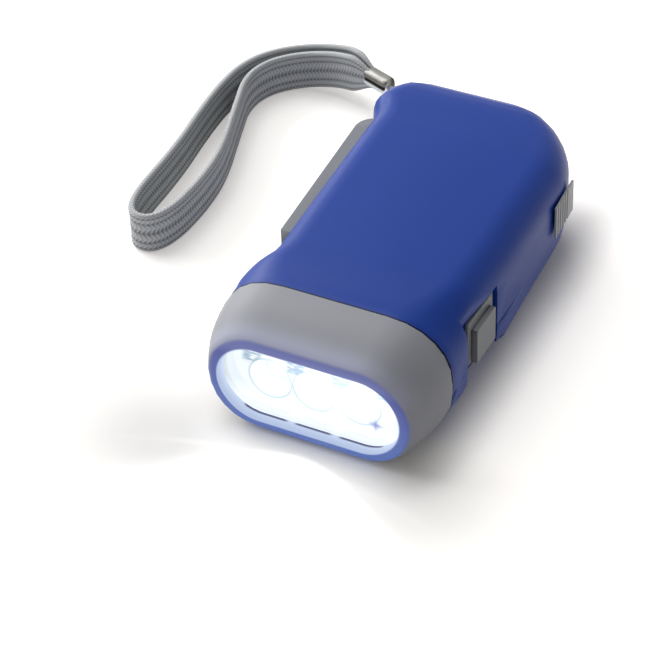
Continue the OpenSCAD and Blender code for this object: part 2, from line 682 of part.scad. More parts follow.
// ---- gear train ----
module first_gear() {
    color([0.93, 0.93, 0.9]) difference() {
        union() {
            wheel(first_at, pinion_teeth, rack_module, first_pinion_turn, pinion_low, first_low);
            wheel(first_at, first_teeth, first_module, first_gear_turn, first_low, first_high);
            rod(first_at, 4.6, first_high - 0.5, first_high + 0.9);
        }
        rod(first_at, axle_d + 2 * running, 0, 30);
    }
}
module first_axle() {
    color(steel) rod(first_at, axle_d, 1.6, axle_top);
}
module second_gear() {
    color([0.93, 0.93, 0.9]) difference() {
        union() {
            wheel(second_at, pinion_teeth, first_module, second_pinion_turn, first_low - 0.5, second_low);
            wheel(second_at, second_teeth, second_module, second_gear_turn, second_low, second_high);
            rod(second_at, 4.6, second_high - 0.5, plate_low - 0.3);
        }
        rod(second_at, axle_d + 2 * running, 0, 30);
    }
}
module second_axle() {
    color(steel) rod(second_at, axle_d, 1.6, axle_top);
}

// ---- generator ----
stator_high = level(0.49);
stator_h = stator_high - stator_low;
sheet = 0.8;
air_gap = 0.4;
claw_r = magnet_d / 2 + air_gap;
magnet_z = stator_low + (stator_h - magnet_h) / 2;
hub_d = 4.9;
module rotor_hub() {
    color([0.93, 0.93, 0.9]) difference() {
        union() {
            rod(rotor_at, hub_d, magnet_z - 0.5, second_low - 0.5);
            rod(rotor_at, hub_d + 3, magnet_z - 0.6, magnet_z - touch);
            wheel(rotor_at, pinion_teeth, second_module, rotor_turn, second_low - 0.5, second_high + 0.5);
        }
        rod(rotor_at, shaft_d + 2 * touch, 0, 30);
    }
}
module rotor_magnet() {
    color([0.2, 0.2, 0.22]) tube(rotor_at, magnet_d, hub_d + 2 * touch, magnet_z, magnet_z + magnet_h);
}
module rotor_shaft() {
    color(steel) rod(rotor_at, shaft_d, 1.6, axle_top);
}
// one claw-pole cup: rim, end disc and six claws between the magnet and the coil
module claw_cup(turn) {
    tube([0, 0], stator_d, stator_d - 2 * sheet, 0, stator_h / 2 - 0.1);
    tube([0, 0], stator_d, 2 * claw_r, 0, sheet);
    for (i = [0 : 5]) intersection() {
        tube([0, 0], 2 * (claw_r + sheet), 2 * claw_r, 0, stator_h - 1.2);
        rotate(turn + 60 * i) box([0, -1.5, 0], [claw_r + 2, 1.5, stator_h]);
    }
}
module stator_lower() {
    color(steel) translate([rotor_at[0], rotor_at[1], stator_low]) claw_cup(0);
}
module stator_upper() {
    color(steel) translate([rotor_at[0], rotor_at[1], stator_high]) mirror([0, 0, 1]) claw_cup(30);
}
bobbin_in = 2 * (claw_r + sheet + 0.15);
bobbin_out = stator_d - 2 * sheet - 0.4;
bobbin_wall = 0.6;
bobbin_flange = 0.7;
bobbin_end = 1;                   // from the stator's end face to the bobbin's
module coil_bobbin() {
    color([0.9, 0.88, 0.8]) {
        tube(rotor_at, bobbin_in + 2 * bobbin_wall, bobbin_in,
             stator_low + bobbin_end, stator_high - bobbin_end);
        for (z = [stator_low + bobbin_end, stator_high - bobbin_end - bobbin_flange])
            tube(rotor_at, bobbin_out, bobbin_in, z, z + bobbin_flange);
    }
}
module coil_winding() {
    color(copper) tube(rotor_at, bobbin_out - 0.5, bobbin_in + 2 * (bobbin_wall + touch),
                       stator_low + bobbin_end + bobbin_flange + touch,
                       stator_high - bobbin_end - bobbin_flange - touch);
}

// ---- plate over the train ----
module arm(a, b) {
    d = b - a;
    width = 4.2;
    translate(a) rotate(atan2(d[1], d[0])) translate([0, -width / 2]) square([norm(d), width]);
}
module gear_plate() {
    hub = 6;
    color(steel) difference() {
        translate([0, 0, plate_low]) linear_extrude(plate_high - plate_low) {
            arm(plate_posts[0], second_at);
            arm(second_at, rotor_at);
            arm(rotor_at, plate_posts[1]);
            arm(first_at, second_at);
            arm(first_at, plate_posts[2]);
            for (p = concat(plate_posts, [first_at, second_at, rotor_at])) translate(p) circle(d = hub);
        }
        for (p = [first_at, second_at]) rod(p, axle_d + 2 * touch, 20, 30);
        rod(rotor_at, shaft_d + 2 * running, 20, 30);
        for (p = plate_posts) rod(p, small_screw_d + 0.2, 20, 30);
    }
}
module screw(at, d, head, z_low, seat, head_h) {
    difference() {
        union() {
            rod(at, d, z_low, seat);
            rod(at, head, seat, seat + head_h);
        }
        translate([0, 0, seat + head_h - 0.6]) for (a = [0, 90]) translate(at) rotate(a)
            translate([-head * 0.32, -0.25, 0]) cube([head * 0.64, 0.5, 1]);
    }
}
module plate_screws() {
    color(steel) for (p = plate_posts)
        screw(p, small_screw_d, small_head_d, plate_low - 8, plate_high, 1.1);
}

// ---- charging board, cell, switch ----
charge_z = second_low - 1.5;
charge_t = 1.2;
module charge_board() {
    color(board_green) difference() {
        box([-8.8, board_front, charge_z], [12.4, board_rear, charge_z + charge_t]);
        for (p = board_posts) rod(p, small_screw_d + 0.2, charge_z - 1, charge_z + 3);
    }
}
module board_screws() {
    color(steel) for (p = board_posts)
        screw(p, small_screw_d, small_head_d, charge_z - 6, charge_z + charge_t, 1);
}
module diodes() {
    color([0.15, 0.15, 0.15]) for (x = [-2, 2, 6, 10])
        translate([x, board_front + 3.5, charge_z + charge_t + 1.4]) rotate([-90, 0, 0]) {
            cylinder(d = 2.6, h = 4.4);
            translate([0, 0, -1.2]) cylinder(d = 0.6, h = 6.8, $fn = 16);
        }
}
cell_at = rotor_at + [9.9, -19.7];
cell_d = 16;
cell_t = 3.2;
cell_z = 3;
module cell() {
    color(steel) {
        rod(cell_at, cell_d, cell_z, cell_z + cell_t - 0.5);
        rod(cell_at, cell_d - 2.4, cell_z, cell_z + cell_t);
    }
}
tab_t = 0.3;
tab_w = 1.8;
module cell_tabs() {
    left = cell_at[0] - cell_d / 2 - 0.6;
    far = cell_at[0] + 2;
    y = [cell_at[1] - 1.2, cell_at[1] - 4.2];   // front edges of the upper and the lower tab
    top = cell_z + cell_t + touch;
    color(steel) {
        box([left, y[0], top], [far, y[0] + tab_w, top + tab_t]);
        box([left, y[0], top], [left + tab_t, y[0] + tab_w, charge_z - touch]);
        box([left, y[1], cell_z - touch - tab_t], [far, y[1] + tab_w, cell_z - touch]);
        box([left, y[1], cell_z - touch - tab_t], [left + tab_t, y[1] + tab_w, charge_z - touch]);
    }
}
switch_z = [foot_z + 2, 20.6];
switch_y = [knob_y[0] - 1, knob_y[1] - 0.8];
module switch_body() {
    color([0.15, 0.15, 0.16]) difference() {
        box([17, switch_y[0], switch_z[0]], [niche_x - 1.6, switch_y[1], switch_z[1]]);
        box([20, knob_foot_y[0] - switch_travel - 0.3, knob_foot_z[0] - 0.2],
            [30, knob_foot_y[1] + 0.3, knob_foot_z[1] + 0.2]);
    }
}
module switch_knob() {
    color(grey) {
        box([niche_x + 0.1, knob_y[0], knob_z[0]], [niche_x + 1.2, knob_y[1], knob_z[1]]);
        box([niche_x + 1, paddle_y[0], paddle_z[0]], [knob_face, paddle_y[1], paddle_z[1]]);
        box([20.3, knob_foot_y[0], knob_foot_z[0]], [niche_x + 0.5, knob_foot_y[1], knob_foot_z[1]]);
    }
}
// turns what belongs to the lock slider about its front corner, so that it runs along the flank
module along_flank() {
    corner = [lock_back_x, lock_y[0], 0];
    translate(corner) rotate([0, 0, lock_turn]) translate(-corner) children();
}
module lock_slider() {
    color(grey) {
        along_flank() {
            difference() {
                box([lock_back_x, lock_y[0], lock_z[0]], [lock_face, lock_y[1], lock_z[1]]);
                for (i = [1 : lock_ribs])
                    box([lock_face - lock_groove, lock_y[0] + (2 * i - 1) * lock_rib, lock_z[0] - 1],
                        [lock_face + 1, lock_y[0] + 2 * i * lock_rib, lock_z[1] + 1]);
            }
            box([lock_in_x[0], lock_stem_y[0], lock_slot_z[0] + 0.2],
                [lock_back_x + 0.1, lock_stem_y[1], lock_slot_z[1] - 0.2]);
            box([lock_in_x[0], lock_stem_y[0] - 2, lock_slot_z[0] - 1.5],
                [lock_in_x[1], lock_stem_y[1] + 2, lock_slot_z[1] + 1.6]);
        }
        box([bolt_x[0], bolt_y[0], rack_high + 0.4], [lock_in_x[0] + 1, bolt_y[1], lock_slot_z[0] - 1]);
        box([bolt_x[0], bolt_y[0], rack_low + 0.3], [bolt_x[1], bolt_y[1], rack_high + 2.4]);
    }
}
module case_screws() {
    color(steel) for (p = case_posts) translate([0, 0, head_seat]) mirror([0, 0, 1])
        screw(p, screw_d, head_d, head_seat - 19, touch, 1.6);
}

// ---- string, crimp and strap ----
// sections of a band that stands on edge: half thickness, half width and the corner cut
function band_section(p, side, half_t, half_w, cut) =
    [for (q = [[half_t, cut - half_w], [half_t, half_w - cut],
               [half_t - cut, half_w], [cut - half_t, half_w],
               [-half_t, half_w - cut], [-half_t, cut - half_w],
               [cut - half_t, -half_w], [half_t - cut, -half_w]])
        [p[0] + side[0] * q[0], p[1] + side[1] * q[0], p[2] + q[1]]];
function path_side(path, i) =
    let (a = path[max(0, i - 1)], b = path[min(len(path) - 1, i + 1)], d = [b[0] - a[0], b[1] - a[1]])
    [-d[1], d[0]] / norm(d);
pinch = 3.1;                      // width of the strap inside the crimp
pinch_t = 1.3;                    // its thickness there
pinch_rings = 3;                  // rings over which it narrows
function pinched(i) = ease((min(i, len(strap_path) - 1 - i) - 1) / pinch_rings);
module wrist_strap() {
    color([0.55, 0.57, 0.6]) translate([0, tail_y, 0]) loft([for (i = [0 : len(strap_path) - 1])
        band_section(strap_path[i], path_side(strap_path, i), mix(pinch_t, strap_t, pinched(i)) / 2,
                     mix(pinch, strap_w, pinched(i)) / 2, 0.4)]);
}
module strap_string() {
    r = string_d / 2;
    color([0.6, 0.6, 0.66]) translate([0, tail_y, 0]) loft([for (i = [0 : len(string_path) - 1])
        band_section(string_path[i], path_side(string_path, i), r * 0.96, r * 0.96, r * 0.56)]);
}
crimp_wall = 0.5;
crimp_in = [2 * pinch_t + 0.8, pinch + 0.5];
module crimp_outline(g) {
    w = crimp_in[0] + 2 * g;
    h = crimp_in[1] + 2 * g;
    square([w, h - w * 0.8], center = true);
    square([w * 0.4, h], center = true);
    for (s = [-1, 1]) for (t = [-1, 1])
        translate([s * (w / 2 - w * 0.3), t * (h / 2 - w * 0.3)]) circle(r = w * 0.3);
    square([w, h - w * 0.6], center = true);
}
module strap_crimp() {
    d = crimp_to - crimp_from;
    flat = norm([d[0], d[1]]);
    color(steel) translate(crimp_from + [0, tail_y, 0]) rotate([0, 0, atan2(d[1], d[0])])
        rotate([0, 90 - atan2(d[2], flat), 0]) linear_extrude(norm(d)) rotate(90) difference() {
            crimp_outline(crimp_wall);
            crimp_outline(0);
            translate([-5, -0.5]) square([5, 1]);
        }
}

top_shell();
bottom_shell();
head_shell();
lens();
reflector();
led_left();
led_middle();
led_right();
led_board();
squeeze_lever();
lever_pin();
return_spring();
first_gear();
first_axle();
second_gear();
second_axle();
rotor_hub();
rotor_magnet();
rotor_shaft();
stator_upper();
stator_lower();
coil_bobbin();
coil_winding();
gear_plate();
plate_screws();
charge_board();
diodes();
board_screws();
cell();
cell_tabs();
switch_body();
switch_knob();
lock_slider();
case_screws();
strap_string();
strap_crimp();
wrist_strap();
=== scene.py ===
import math
import bpy
import bmesh
from mathutils import Matrix, Vector


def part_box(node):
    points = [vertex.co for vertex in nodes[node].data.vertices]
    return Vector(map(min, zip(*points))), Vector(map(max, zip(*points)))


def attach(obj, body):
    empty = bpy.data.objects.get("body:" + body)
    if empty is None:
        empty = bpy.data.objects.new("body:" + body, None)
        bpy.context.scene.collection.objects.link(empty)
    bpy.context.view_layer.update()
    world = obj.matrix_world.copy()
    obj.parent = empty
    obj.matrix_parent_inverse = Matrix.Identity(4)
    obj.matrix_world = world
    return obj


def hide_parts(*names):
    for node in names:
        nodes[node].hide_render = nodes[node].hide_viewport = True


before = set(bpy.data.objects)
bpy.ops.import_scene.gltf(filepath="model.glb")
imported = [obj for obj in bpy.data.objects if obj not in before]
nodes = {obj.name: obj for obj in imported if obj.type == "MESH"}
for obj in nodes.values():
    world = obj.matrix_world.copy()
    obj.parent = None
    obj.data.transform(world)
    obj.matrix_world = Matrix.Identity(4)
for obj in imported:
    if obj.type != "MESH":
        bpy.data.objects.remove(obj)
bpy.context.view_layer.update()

mm = 0.001
print("frame loaded")


view = {
    "azimuth": 28.473,            # degrees from straight before the lens, round towards +X
    "elevation": 39.023, "roll": -2.491,
    "lens": 127.91, "sensor": 36,                     # millimetres
    "distance": 0.52221, "nearest": 0.01,             # metres
    "target": (-0.007517, -0.025234, 0.009185),
}


def addCamera():
    a, e, roll = (math.radians(view[k]) for k in ("azimuth", "elevation", "roll"))
    forward = Vector((-math.sin(a) * math.cos(e), math.cos(a) * math.cos(e), -math.sin(e)))
    right = Vector((math.cos(a), math.sin(a), 0))
    up = right.cross(forward)
    across = math.cos(roll) * right + math.sin(roll) * up
    upright = -math.sin(roll) * right + math.cos(roll) * up
    data = bpy.data.cameras.new("camera")
    data.lens = view["lens"]
    data.sensor_width = view["sensor"]
    data.clip_start = view["nearest"]
    camera = bpy.data.objects.new("camera", data)
    turn = Matrix((across, upright, -forward)).transposed().to_4x4()
    camera.matrix_world = Matrix.Translation(Vector(view["target"]) - view["distance"] * forward) @ turn
    bpy.context.collection.objects.link(camera)
    bpy.context.scene.camera = camera


addCamera()
print("camera set")


class Value:
    # a socket that can be used in sums
    def __init__(self, tree, socket):
        self.tree = tree
        self.socket = socket

    def maths(self, operation, other=None, swap=False):
        node = self.tree.nodes.new("ShaderNodeMath")
        node.operation = operation
        terms = [self] if other is None else [other, self] if swap else [self, other]
        for place, term in zip(node.inputs, terms):
            if isinstance(term, Value):
                self.tree.links.new(term.socket, place)
            else:
                place.default_value = term
        return Value(self.tree, node.outputs[0])

    def __add__(self, other):
        return self.maths("ADD", other)

    def __sub__(self, other):
        return self.maths("SUBTRACT", other)

    def __rsub__(self, other):
        return self.maths("SUBTRACT", other, swap=True)

    def __mul__(self, other):
        return self.maths("MULTIPLY", other)

    def __truediv__(self, other):
        return self.maths("DIVIDE", other)

    def __pow__(self, other):
        return self.maths("POWER", other)

    __radd__ = __add__
    __rmul__ = __mul__

    def __abs__(self):
        return self.maths("ABSOLUTE")

    def clamp(self):
        node = self.tree.nodes.new("ShaderNodeClamp")
        self.tree.links.new(self.socket, node.inputs["Value"])
        return Value(self.tree, node.outputs[0])


def distance(a, b):
    return (a * a + b * b) ** 0.5


def toned(colour, factor):
    # the colour made darker or lighter
    return tuple(min(1, c * factor) for c in colour)


class Finish:
    # one material: a Principled shader and the nodes that feed it
    def __init__(self, name, **fixed):
        self.material = bpy.data.materials.new(name)
        self.material.use_nodes = True
        self.tree = self.material.node_tree
        self.shader = self.tree.nodes["Principled BSDF"]
        for key, value in fixed.items():
            self.set(key.replace("_", " "), value)

    def put(self, node, key, value):
        place = node.inputs[key]
        if isinstance(value, Value):
            self.tree.links.new(value.socket, place)
        elif hasattr(value, "__len__") and len(value) == 3 and place.type == "RGBA":
            place.default_value = (*value, 1)
        else:
            place.default_value = value

    def set(self, key, value):
        self.put(self.shader, key, value)

    def add(self, kind, settings=None, inputs=None, output=0):
        node = self.tree.nodes.new("ShaderNode" + kind)
        for key, value in (settings or {}).items():
            setattr(node, key, value)
        for key, value in (inputs or {}).items():
            self.put(node, key, value)
        return Value(self.tree, node.outputs[output])

    def split(self, vector):
        node = self.tree.nodes.new("ShaderNodeSeparateXYZ")
        self.tree.links.new(vector.socket, node.inputs[0])
        return [Value(self.tree, out) for out in node.outputs]

    def place(self):
        return self.add("TexCoord", output="Object")

    def xyz(self):
        return self.split(self.place())

    def uv(self):
        return self.split(self.add("TexCoord", output="UV"))

    def stretched(self, factors):
        # the place with each direction multiplied, so that a pattern on it is drawn out
        return self.add("VectorMath", {"operation": "MULTIPLY"}, {0: self.place(), 1: factors})

    def scaled(self, colour, factor):
        return self.add("VectorMath", {"operation": "SCALE"}, {0: colour, "Scale": factor})

    def noise(self, size, detail=2, rough=0.5, where=None):
        # size is the size of a blotch in metres
        return self.add("TexNoise", {}, {"Vector": where or self.place(), "Scale": 1 / size,
                                         "Detail": detail, "Roughness": rough}, output="Fac")

    def blend(self, amount, a, b):
        return self.add("Mix", {"data_type": "RGBA"}, {0: amount, 6: a, 7: b}, output=2)

    def ramp(self, value, low, high, a=0.0, b=1.0):
        # runs smoothly from a to b while value goes from low to high
        return self.add("MapRange", {"interpolation_type": "SMOOTHSTEP"},
                        {"Value": value, "From Min": low, "From Max": high, "To Min": a, "To Max": b})

    def fade(self, value, span, a=0.0, b=1.0, origin=0.0):
        # the same over a span in millimetres, counted from origin
        return self.ramp(value, origin + span[0] * mm, origin + span[1] * mm, a, b)

    def bump(self, height, depth, strength=1.0):
        self.set("Normal", self.add("Bump", {}, {"Height": height, "Distance": depth, "Strength": strength}))

    def colourSoFar(self):
        return Value(self.tree, self.shader.inputs["Base Color"].links[0].from_socket)


def paint(piece, finish):
    piece.data.materials.clear()
    piece.data.materials.append(finish.material)


plastic = {
    "grain": 0.00035, "grainDepth": 0.000012,         # the spark-eroded surface, metres
    "flow": 0.018, "flowRough": 0.6,                  # the flow marks
    "flowGloss": 0.14, "grainGloss": 0.1,             # how much each makes the gloss vary
}


def moulded(name, colour, rough, level=0.35, shade=0.06):
    # moulded plastic: a fine grain, flow marks that shade the colour, and uneven gloss
    skin = Finish(name, Specular_IOR_Level=level)
    fine = skin.noise(plastic["grain"], detail=3)
    flow = skin.noise(plastic["flow"], detail=3, rough=plastic["flowRough"])
    skin.set("Base Color", skin.blend(flow, toned(colour, 1 - shade), toned(colour, 1 + shade)))
    skin.set("Roughness", (flow - 0.5) * plastic["flowGloss"] + (fine - 0.5) * plastic["grainGloss"] + rough)
    skin.bump(fine, plastic["grainDepth"])
    return skin


def lensMiddle():
    low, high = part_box("lens")
    return (low[2] + high[2]) / 2


sky = {
    "strength": 0.27,             # of the light from all round
    "colour": (1, 1, 1),
}


def seenRay(tree):
    # 1 on what the camera sees, straight or by way of metal and glass
    path = tree.nodes.new("ShaderNodeLightPath")
    seen = Value(tree, path.outputs["Is Camera Ray"])
    for out in ("Is Glossy Ray", "Is Transmission Ray"):
        seen = seen.maths("MAXIMUM", Value(tree, path.outputs[out]))
    return seen


def addSky():
    scene = bpy.context.scene
    scene.view_settings.view_transform = "Standard"
    world = bpy.data.worlds.new("room")
    world.use_nodes = True
    scene.world = world
    tree = world.node_tree
    backdrop = tree.nodes["Background"]
    strength = seenRay(tree) * (1 - sky["strength"]) + sky["strength"]
    tree.links.new(strength.socket, backdrop.inputs["Strength"])
    backdrop.inputs["Color"].default_value = (*sky["colour"], 1)


floor = {
    "colour": (0.9, 0.88, 0.85), "rough": 0.7, "gloss": 0.1,
    "half": 6,                    # metres from its middle to each side
    "lift": 0.5,                  # light added where the camera sees the floor, so that it reads white
    "liftTint": (1.0, 0.975, 0.95),
    "outline": (0.8, 0.92),       # shares of the torch's width and length that count as beside it
    "near": 0.05, "reach": 15,    # share of the light there, and millimetres on, where all of it is added
    "strapSide": 0.7, "strapSpan": (-45, -20),        # share on the strap's side, and where that side begins
}
paintedShade = {
    "at": (30.5, -62),            # middle of two soft patches of painted shade on the floor, millimetres sideways and ahead
    "span": (1, 31), "narrow": 1.15,                  # where they fade, and how much narrower they are along Y
    "leftWider": 1.25, "leftSpan": (-10, 10),         # the left one reaches further
    "loss": 0.55, "leftLoss": 0.5,                    # share of the added light lost in both, and more in the left
    "tint": (0.71, 0.725, 0.74), "leftTint": 0.3, "tintSpan": (-30, 0),      # what the left one takes of a darker tint, painted shade in the floor's colour
}
paintedBeamEdge = {
    "gain": 0.09, "tintLoss": 0.3,                    # a thin painted highlight along the beam's edge that crosses them
    "at": -58, "bend": 0.0055,                        # millimetres, and how fast it falls off sideways
    "half": (0.2, 1.5), "ends": (26, 42),
}


def besideTorch(skin):
    # how far a point of the floor lies outside the torch's outline
    front, (side, back, _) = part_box("head_shell")[0][1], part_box("top_shell")[1]
    wide, long = floor["outline"]
    x, y, _ = skin.xyz()
    sideways = abs(x) - wide * side
    along = abs(y - (front + back) / 2) - long * (back - front) / 2
    return distance(*(value.maths("MAXIMUM", 0.0) for value in (sideways, along)))


def paintedShadeBeforeHead(skin):
    # the painted shade where the beam's edge falls, the painted bright curve in it, and the left patch of painted
    # shade alone
    x, y, _ = skin.xyz()
    side, ahead = (value * mm for value in paintedShade["at"])
    wider = skin.fade(x, paintedShade["leftSpan"], paintedShade["leftWider"], 1)
    patch = skin.fade(distance(abs(x) - side, (y - ahead) * paintedShade["narrow"]) / wider, paintedShade["span"], 1, 0)
    # painted highlight: a thin bright curve along the beam's edge
    bend = y - paintedBeamEdge["at"] * mm + x * x * (paintedBeamEdge["bend"] / mm)
    line = skin.fade(abs(bend), paintedBeamEdge["half"], 1, 0) * skin.fade(abs(x), paintedBeamEdge["ends"], 1, 0)
    return patch, line, patch * skin.fade(x, paintedShade["tintSpan"], 1, 0)


def addFloor():
    work = bmesh.new()
    bmesh.ops.create_grid(work, x_segments=1, y_segments=1, size=floor["half"])
    mesh = bpy.data.meshes.new("floor")
    work.to_mesh(mesh)
    work.free()
    ground = bpy.data.objects.new("floor", mesh)
    bpy.context.collection.objects.link(ground)
    sheet = Finish("floor_white", Roughness=floor["rough"], Specular_IOR_Level=floor["gloss"],
                   Emission_Strength=1.0)
    # painted shadow: the light added to the floor is held back beside the torch and on the strap's side, so the
    # floor is darker there
    share = (sheet.fade(besideTorch(sheet), (0, floor["reach"]), floor["near"], 1)
             * sheet.fade(sheet.xyz()[0], floor["strapSpan"], floor["strapSide"], 1))
    patch, line, leftPaintedShade = paintedShadeBeforeHead(sheet)
    share = (share * (1 - patch * paintedShade["loss"] - leftPaintedShade * paintedShade["leftLoss"] + line * paintedBeamEdge["gain"])).clamp()
    # painted shade: the left patch darkens the floor's colour
    paintedShadeTint = leftPaintedShade * paintedShade["leftTint"] * (1 - line * paintedBeamEdge["tintLoss"])
    sheet.set("Base Color", sheet.blend(paintedShadeTint, floor["colour"], paintedShade["tint"]))
    added = toned(floor["liftTint"], floor["lift"])
    sheet.set("Emission Color", sheet.blend(share * seenRay(sheet.tree), (0, 0, 0), added))
    paint(ground, sheet)


lights = {
    # soft boxes that look at the torch: power, place and size in metres
    "key": (7.4, (-0.5, 0.3, 1.1), 0.8),
    "side": (6.0, (-1.0, 0.0, 0.45), 0.7),
    "sheen": (1.65, (-0.56, 0.28, 0.3), 0.3),
    "fill": (0.7, (0.3, -1.1, 0.8), 0.8),
}


def addLights():
    for name, (power, at, size) in lights.items():
        data = bpy.data.lights.new(name, "AREA")
        data.energy = power
        data.size = size
        lamp = bpy.data.objects.new(name, data)
        lamp.location = at
        lamp.rotation_euler = (-Vector(at)).to_track_quat("-Z", "Y").to_euler()
        bpy.context.collection.objects.link(lamp)


beam = {
    "power": 0.045, "tint": (0.86, 0.93, 1.0),
    "angle": 118, "tilt": 8,      # degrees
    "soft": 0.25, "lamp": 0.004,  # softness of its rim, and the lamp's radius in metres
    "ahead": 0.001,               # metres before the head
}


def addBeam():
    # what the lamps throw on the floor in front of the torch
    low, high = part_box("head_shell")
    data = bpy.data.lights.new("beam", "SPOT")
    data.energy = beam["power"]
    data.color = beam["tint"]
    data.spot_size = math.radians(beam["angle"])
    data.spot_blend = beam["soft"]
    data.shadow_soft_size = beam["lamp"]
    lamp = bpy.data.objects.new("beam", data)
    lamp.location = ((low[0] + high[0]) / 2, low[1] - beam["ahead"], lensMiddle())
    lamp.rotation_euler = (math.radians(90 - beam["tilt"]), 0, math.radians(180))
    bpy.context.collection.objects.link(lamp)


addSky()
addFloor()
addLights()
addBeam()
print("floor and lights set")


def finishPiece(work, name, rides, finish, smooth, node):
    mesh = bpy.data.meshes.new(name)
    work.to_mesh(mesh)
    work.free()
    piece = bpy.data.objects.new(name, mesh)
    bpy.context.collection.objects.link(piece)
    for face in mesh.polygons:
        face.use_smooth = True
    mesh.set_sharp_from_angle(angle=math.radians(smooth))
    paint(piece, finish)
    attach(piece, rides)
    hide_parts(node)
    return piece


def smoothLine(points, steps):
    # Catmull-Rom line through the points
    out = []
    last = len(points) - 1
    for i in range(last):
        a, b, c, d = (points[max(0, min(last, i + k))] for k in (-1, 0, 1, 2))
        for s in range(steps):
            t = s / steps
            out.append(0.5 * (2 * b + (c - a) * t + (2 * a - 5 * b + 4 * c - d) * t ** 2
                              + (3 * b - 3 * c + d - a) * t ** 3))
    out.append(points[-1])
    return out


def evenLine(line, step):
    # the same line with evenly spaced points
    ends = [0.0]
    for a, b in zip(line, line[1:]):
        ends.append(ends[-1] + (b - a).length)
    count = max(2, round(ends[-1] / step))
    out, k = [], 0
    for i in range(count + 1):
        want = ends[-1] * i / count
        while k < len(line) - 2 and ends[k + 1] < want:
            k += 1
        span = max(1e-9, ends[k + 1] - ends[k])
        out.append(line[k].lerp(line[k + 1], min(1, (want - ends[k]) / span)))
    return out, ends[-1]


def ease(t):
    t = max(0.0, min(1.0, t))
    return t * t * (3 - 2 * t)


def route(path, spacing):
    # an even line through a path given in millimetres, and its length
    return evenLine(smoothLine([Vector(p) * mm for p in path], 12), spacing)


def rounded(value, power):
    # a sine or cosine bent towards a square corner, its sign kept
    return math.copysign(abs(value) ** power, value)


def tube(line, outline, around):
    # a closed tube round the line, and the faces at its ends
    # outline(u, k) gives the half thickness and height at share u of the turn and point k of the line
    work = bmesh.new()
    work.loops.layers.uv.new("along")
    bmesh.ops.create_grid(work, x_segments=around, y_segments=len(line) - 1, size=0.5, calc_uvs=True)
    work.verts.ensure_lookup_table()
    last = len(line) - 1
    sides = []
    for i in range(len(line)):
        ahead = line[min(last, i + 1)] - line[max(0, i - 1)]
        sides.append(Vector((ahead.y, -ahead.x, 0)).normalized())
    for vert in work.verts:
        u, k = vert.co.x + 0.5, round((vert.co.y + 0.5) * last)
        across, height = outline(u, k)
        vert.co = line[k] + sides[k] * across + Vector((0, 0, height))
    bmesh.ops.remove_doubles(work, verts=work.verts, dist=0.0000005)
    ends = bmesh.ops.holes_fill(work, edges=[e for e in work.edges if e.is_boundary], sides=0)["faces"]
    bmesh.ops.recalc_face_normals(work, faces=work.faces)
    return work, ends


strap = {
    "path": [
        (-41.2, 69, 10.2), (-44.9, 70.5, 10.1), (-49, 73, 9.4), (-53, 75, 8.6), (-58, 76, 7.4),
        (-63, 75.9, 6.4), (-68, 74.2, 5.7), (-72.3, 70.8, 5.5), (-75.6, 66, 5.5), (-77.5, 60, 5.5),
        (-78, 53, 5.5), (-77.6, 45, 5.5), (-76.6, 36, 5.5), (-75.4, 27, 5.5), (-74.6, 18, 5.5),
        (-74.2, 10, 5.5), (-73.7, 3, 5.5), (-72.4, -2.6, 5.5), (-69.9, -5.8, 5.5), (-66.6, -6, 5.5),
        (-64.2, -3.4, 5.5), (-62.8, 1.6, 5.5), (-62.4, 8, 5.5), (-62.6, 15, 5.5), (-63.6, 23, 5.5),
        (-65.6, 31, 5.5), (-68.2, 39, 5.5), (-70.8, 47, 5.5), (-72.9, 54, 5.5), (-73.2, 60, 5.5),
        (-71.6, 65.2, 5.5), (-68.6, 69, 5.6), (-64.8, 71.4, 6), (-60.4, 72.4, 6.8), (-55.6, 72.2, 7.9),
        (-50.6, 70.8, 9.1), (-45.5, 69.1, 10), (-41.8, 67.6, 10.2),
    ],
    "width": 10.5, "thick": 2.2,  # millimetres, as all sizes here
    "pinchWidth": 4.0, "pinchThick": 0.9, "pinchLength": 10,      # where the ends go into the crimp
    "wales": 6,                   # rows of stitches on each face
    "stitch": 1.0, "lean": 0.9,   # length of one stitch, and how far its strokes lean in stitches
    "relief": 0.2, "ripple": 0.06,                    # how far the rows and the stitches stand out
    "rippleHigh": 0.6, "inset": 0.05,                 # the stitches' share at the edges, and what makes room for it
    "square": (0.42, 0.8),        # the less, the squarer the section across the thickness and the width
    "middle": 0.74,               # thickness between the rolled edges, as a share of theirs
    "rollFrom": 0.6, "rollOver": 0.2,                 # where they begin and how soon they are whole
    "colour": (0.39, 0.405, 0.42), "edge": (0.66, 0.67, 0.68),
    "furrow": 0.42, "crestHighlight": 1.5, "under": 0.8,       # painted shade in the furrows and in the rolled edges' hollows, painted highlight on the crests: how much darker or lighter than the colour
    "strokeHigh": 0.55, "rowHigh": 0.6, "fibreHigh": 0.25,        # parts of the painted relief
    "lit": (0.25, 1.15), "patchShare": 0.15,          # painted relief that runs from shade to highlight, and what patches add
    "edgeSpan": (0.1, 0.2),       # where the rolled edges give way to the rows, in shares of half a turn
    "fibre": 0.00018, "patch": 0.006, "depth": 0.00026, "spacing": 0.0004,        # metres
    "around": 72, "smooth": 60,   # faces round the band, and the angle up to which it is smooth
}


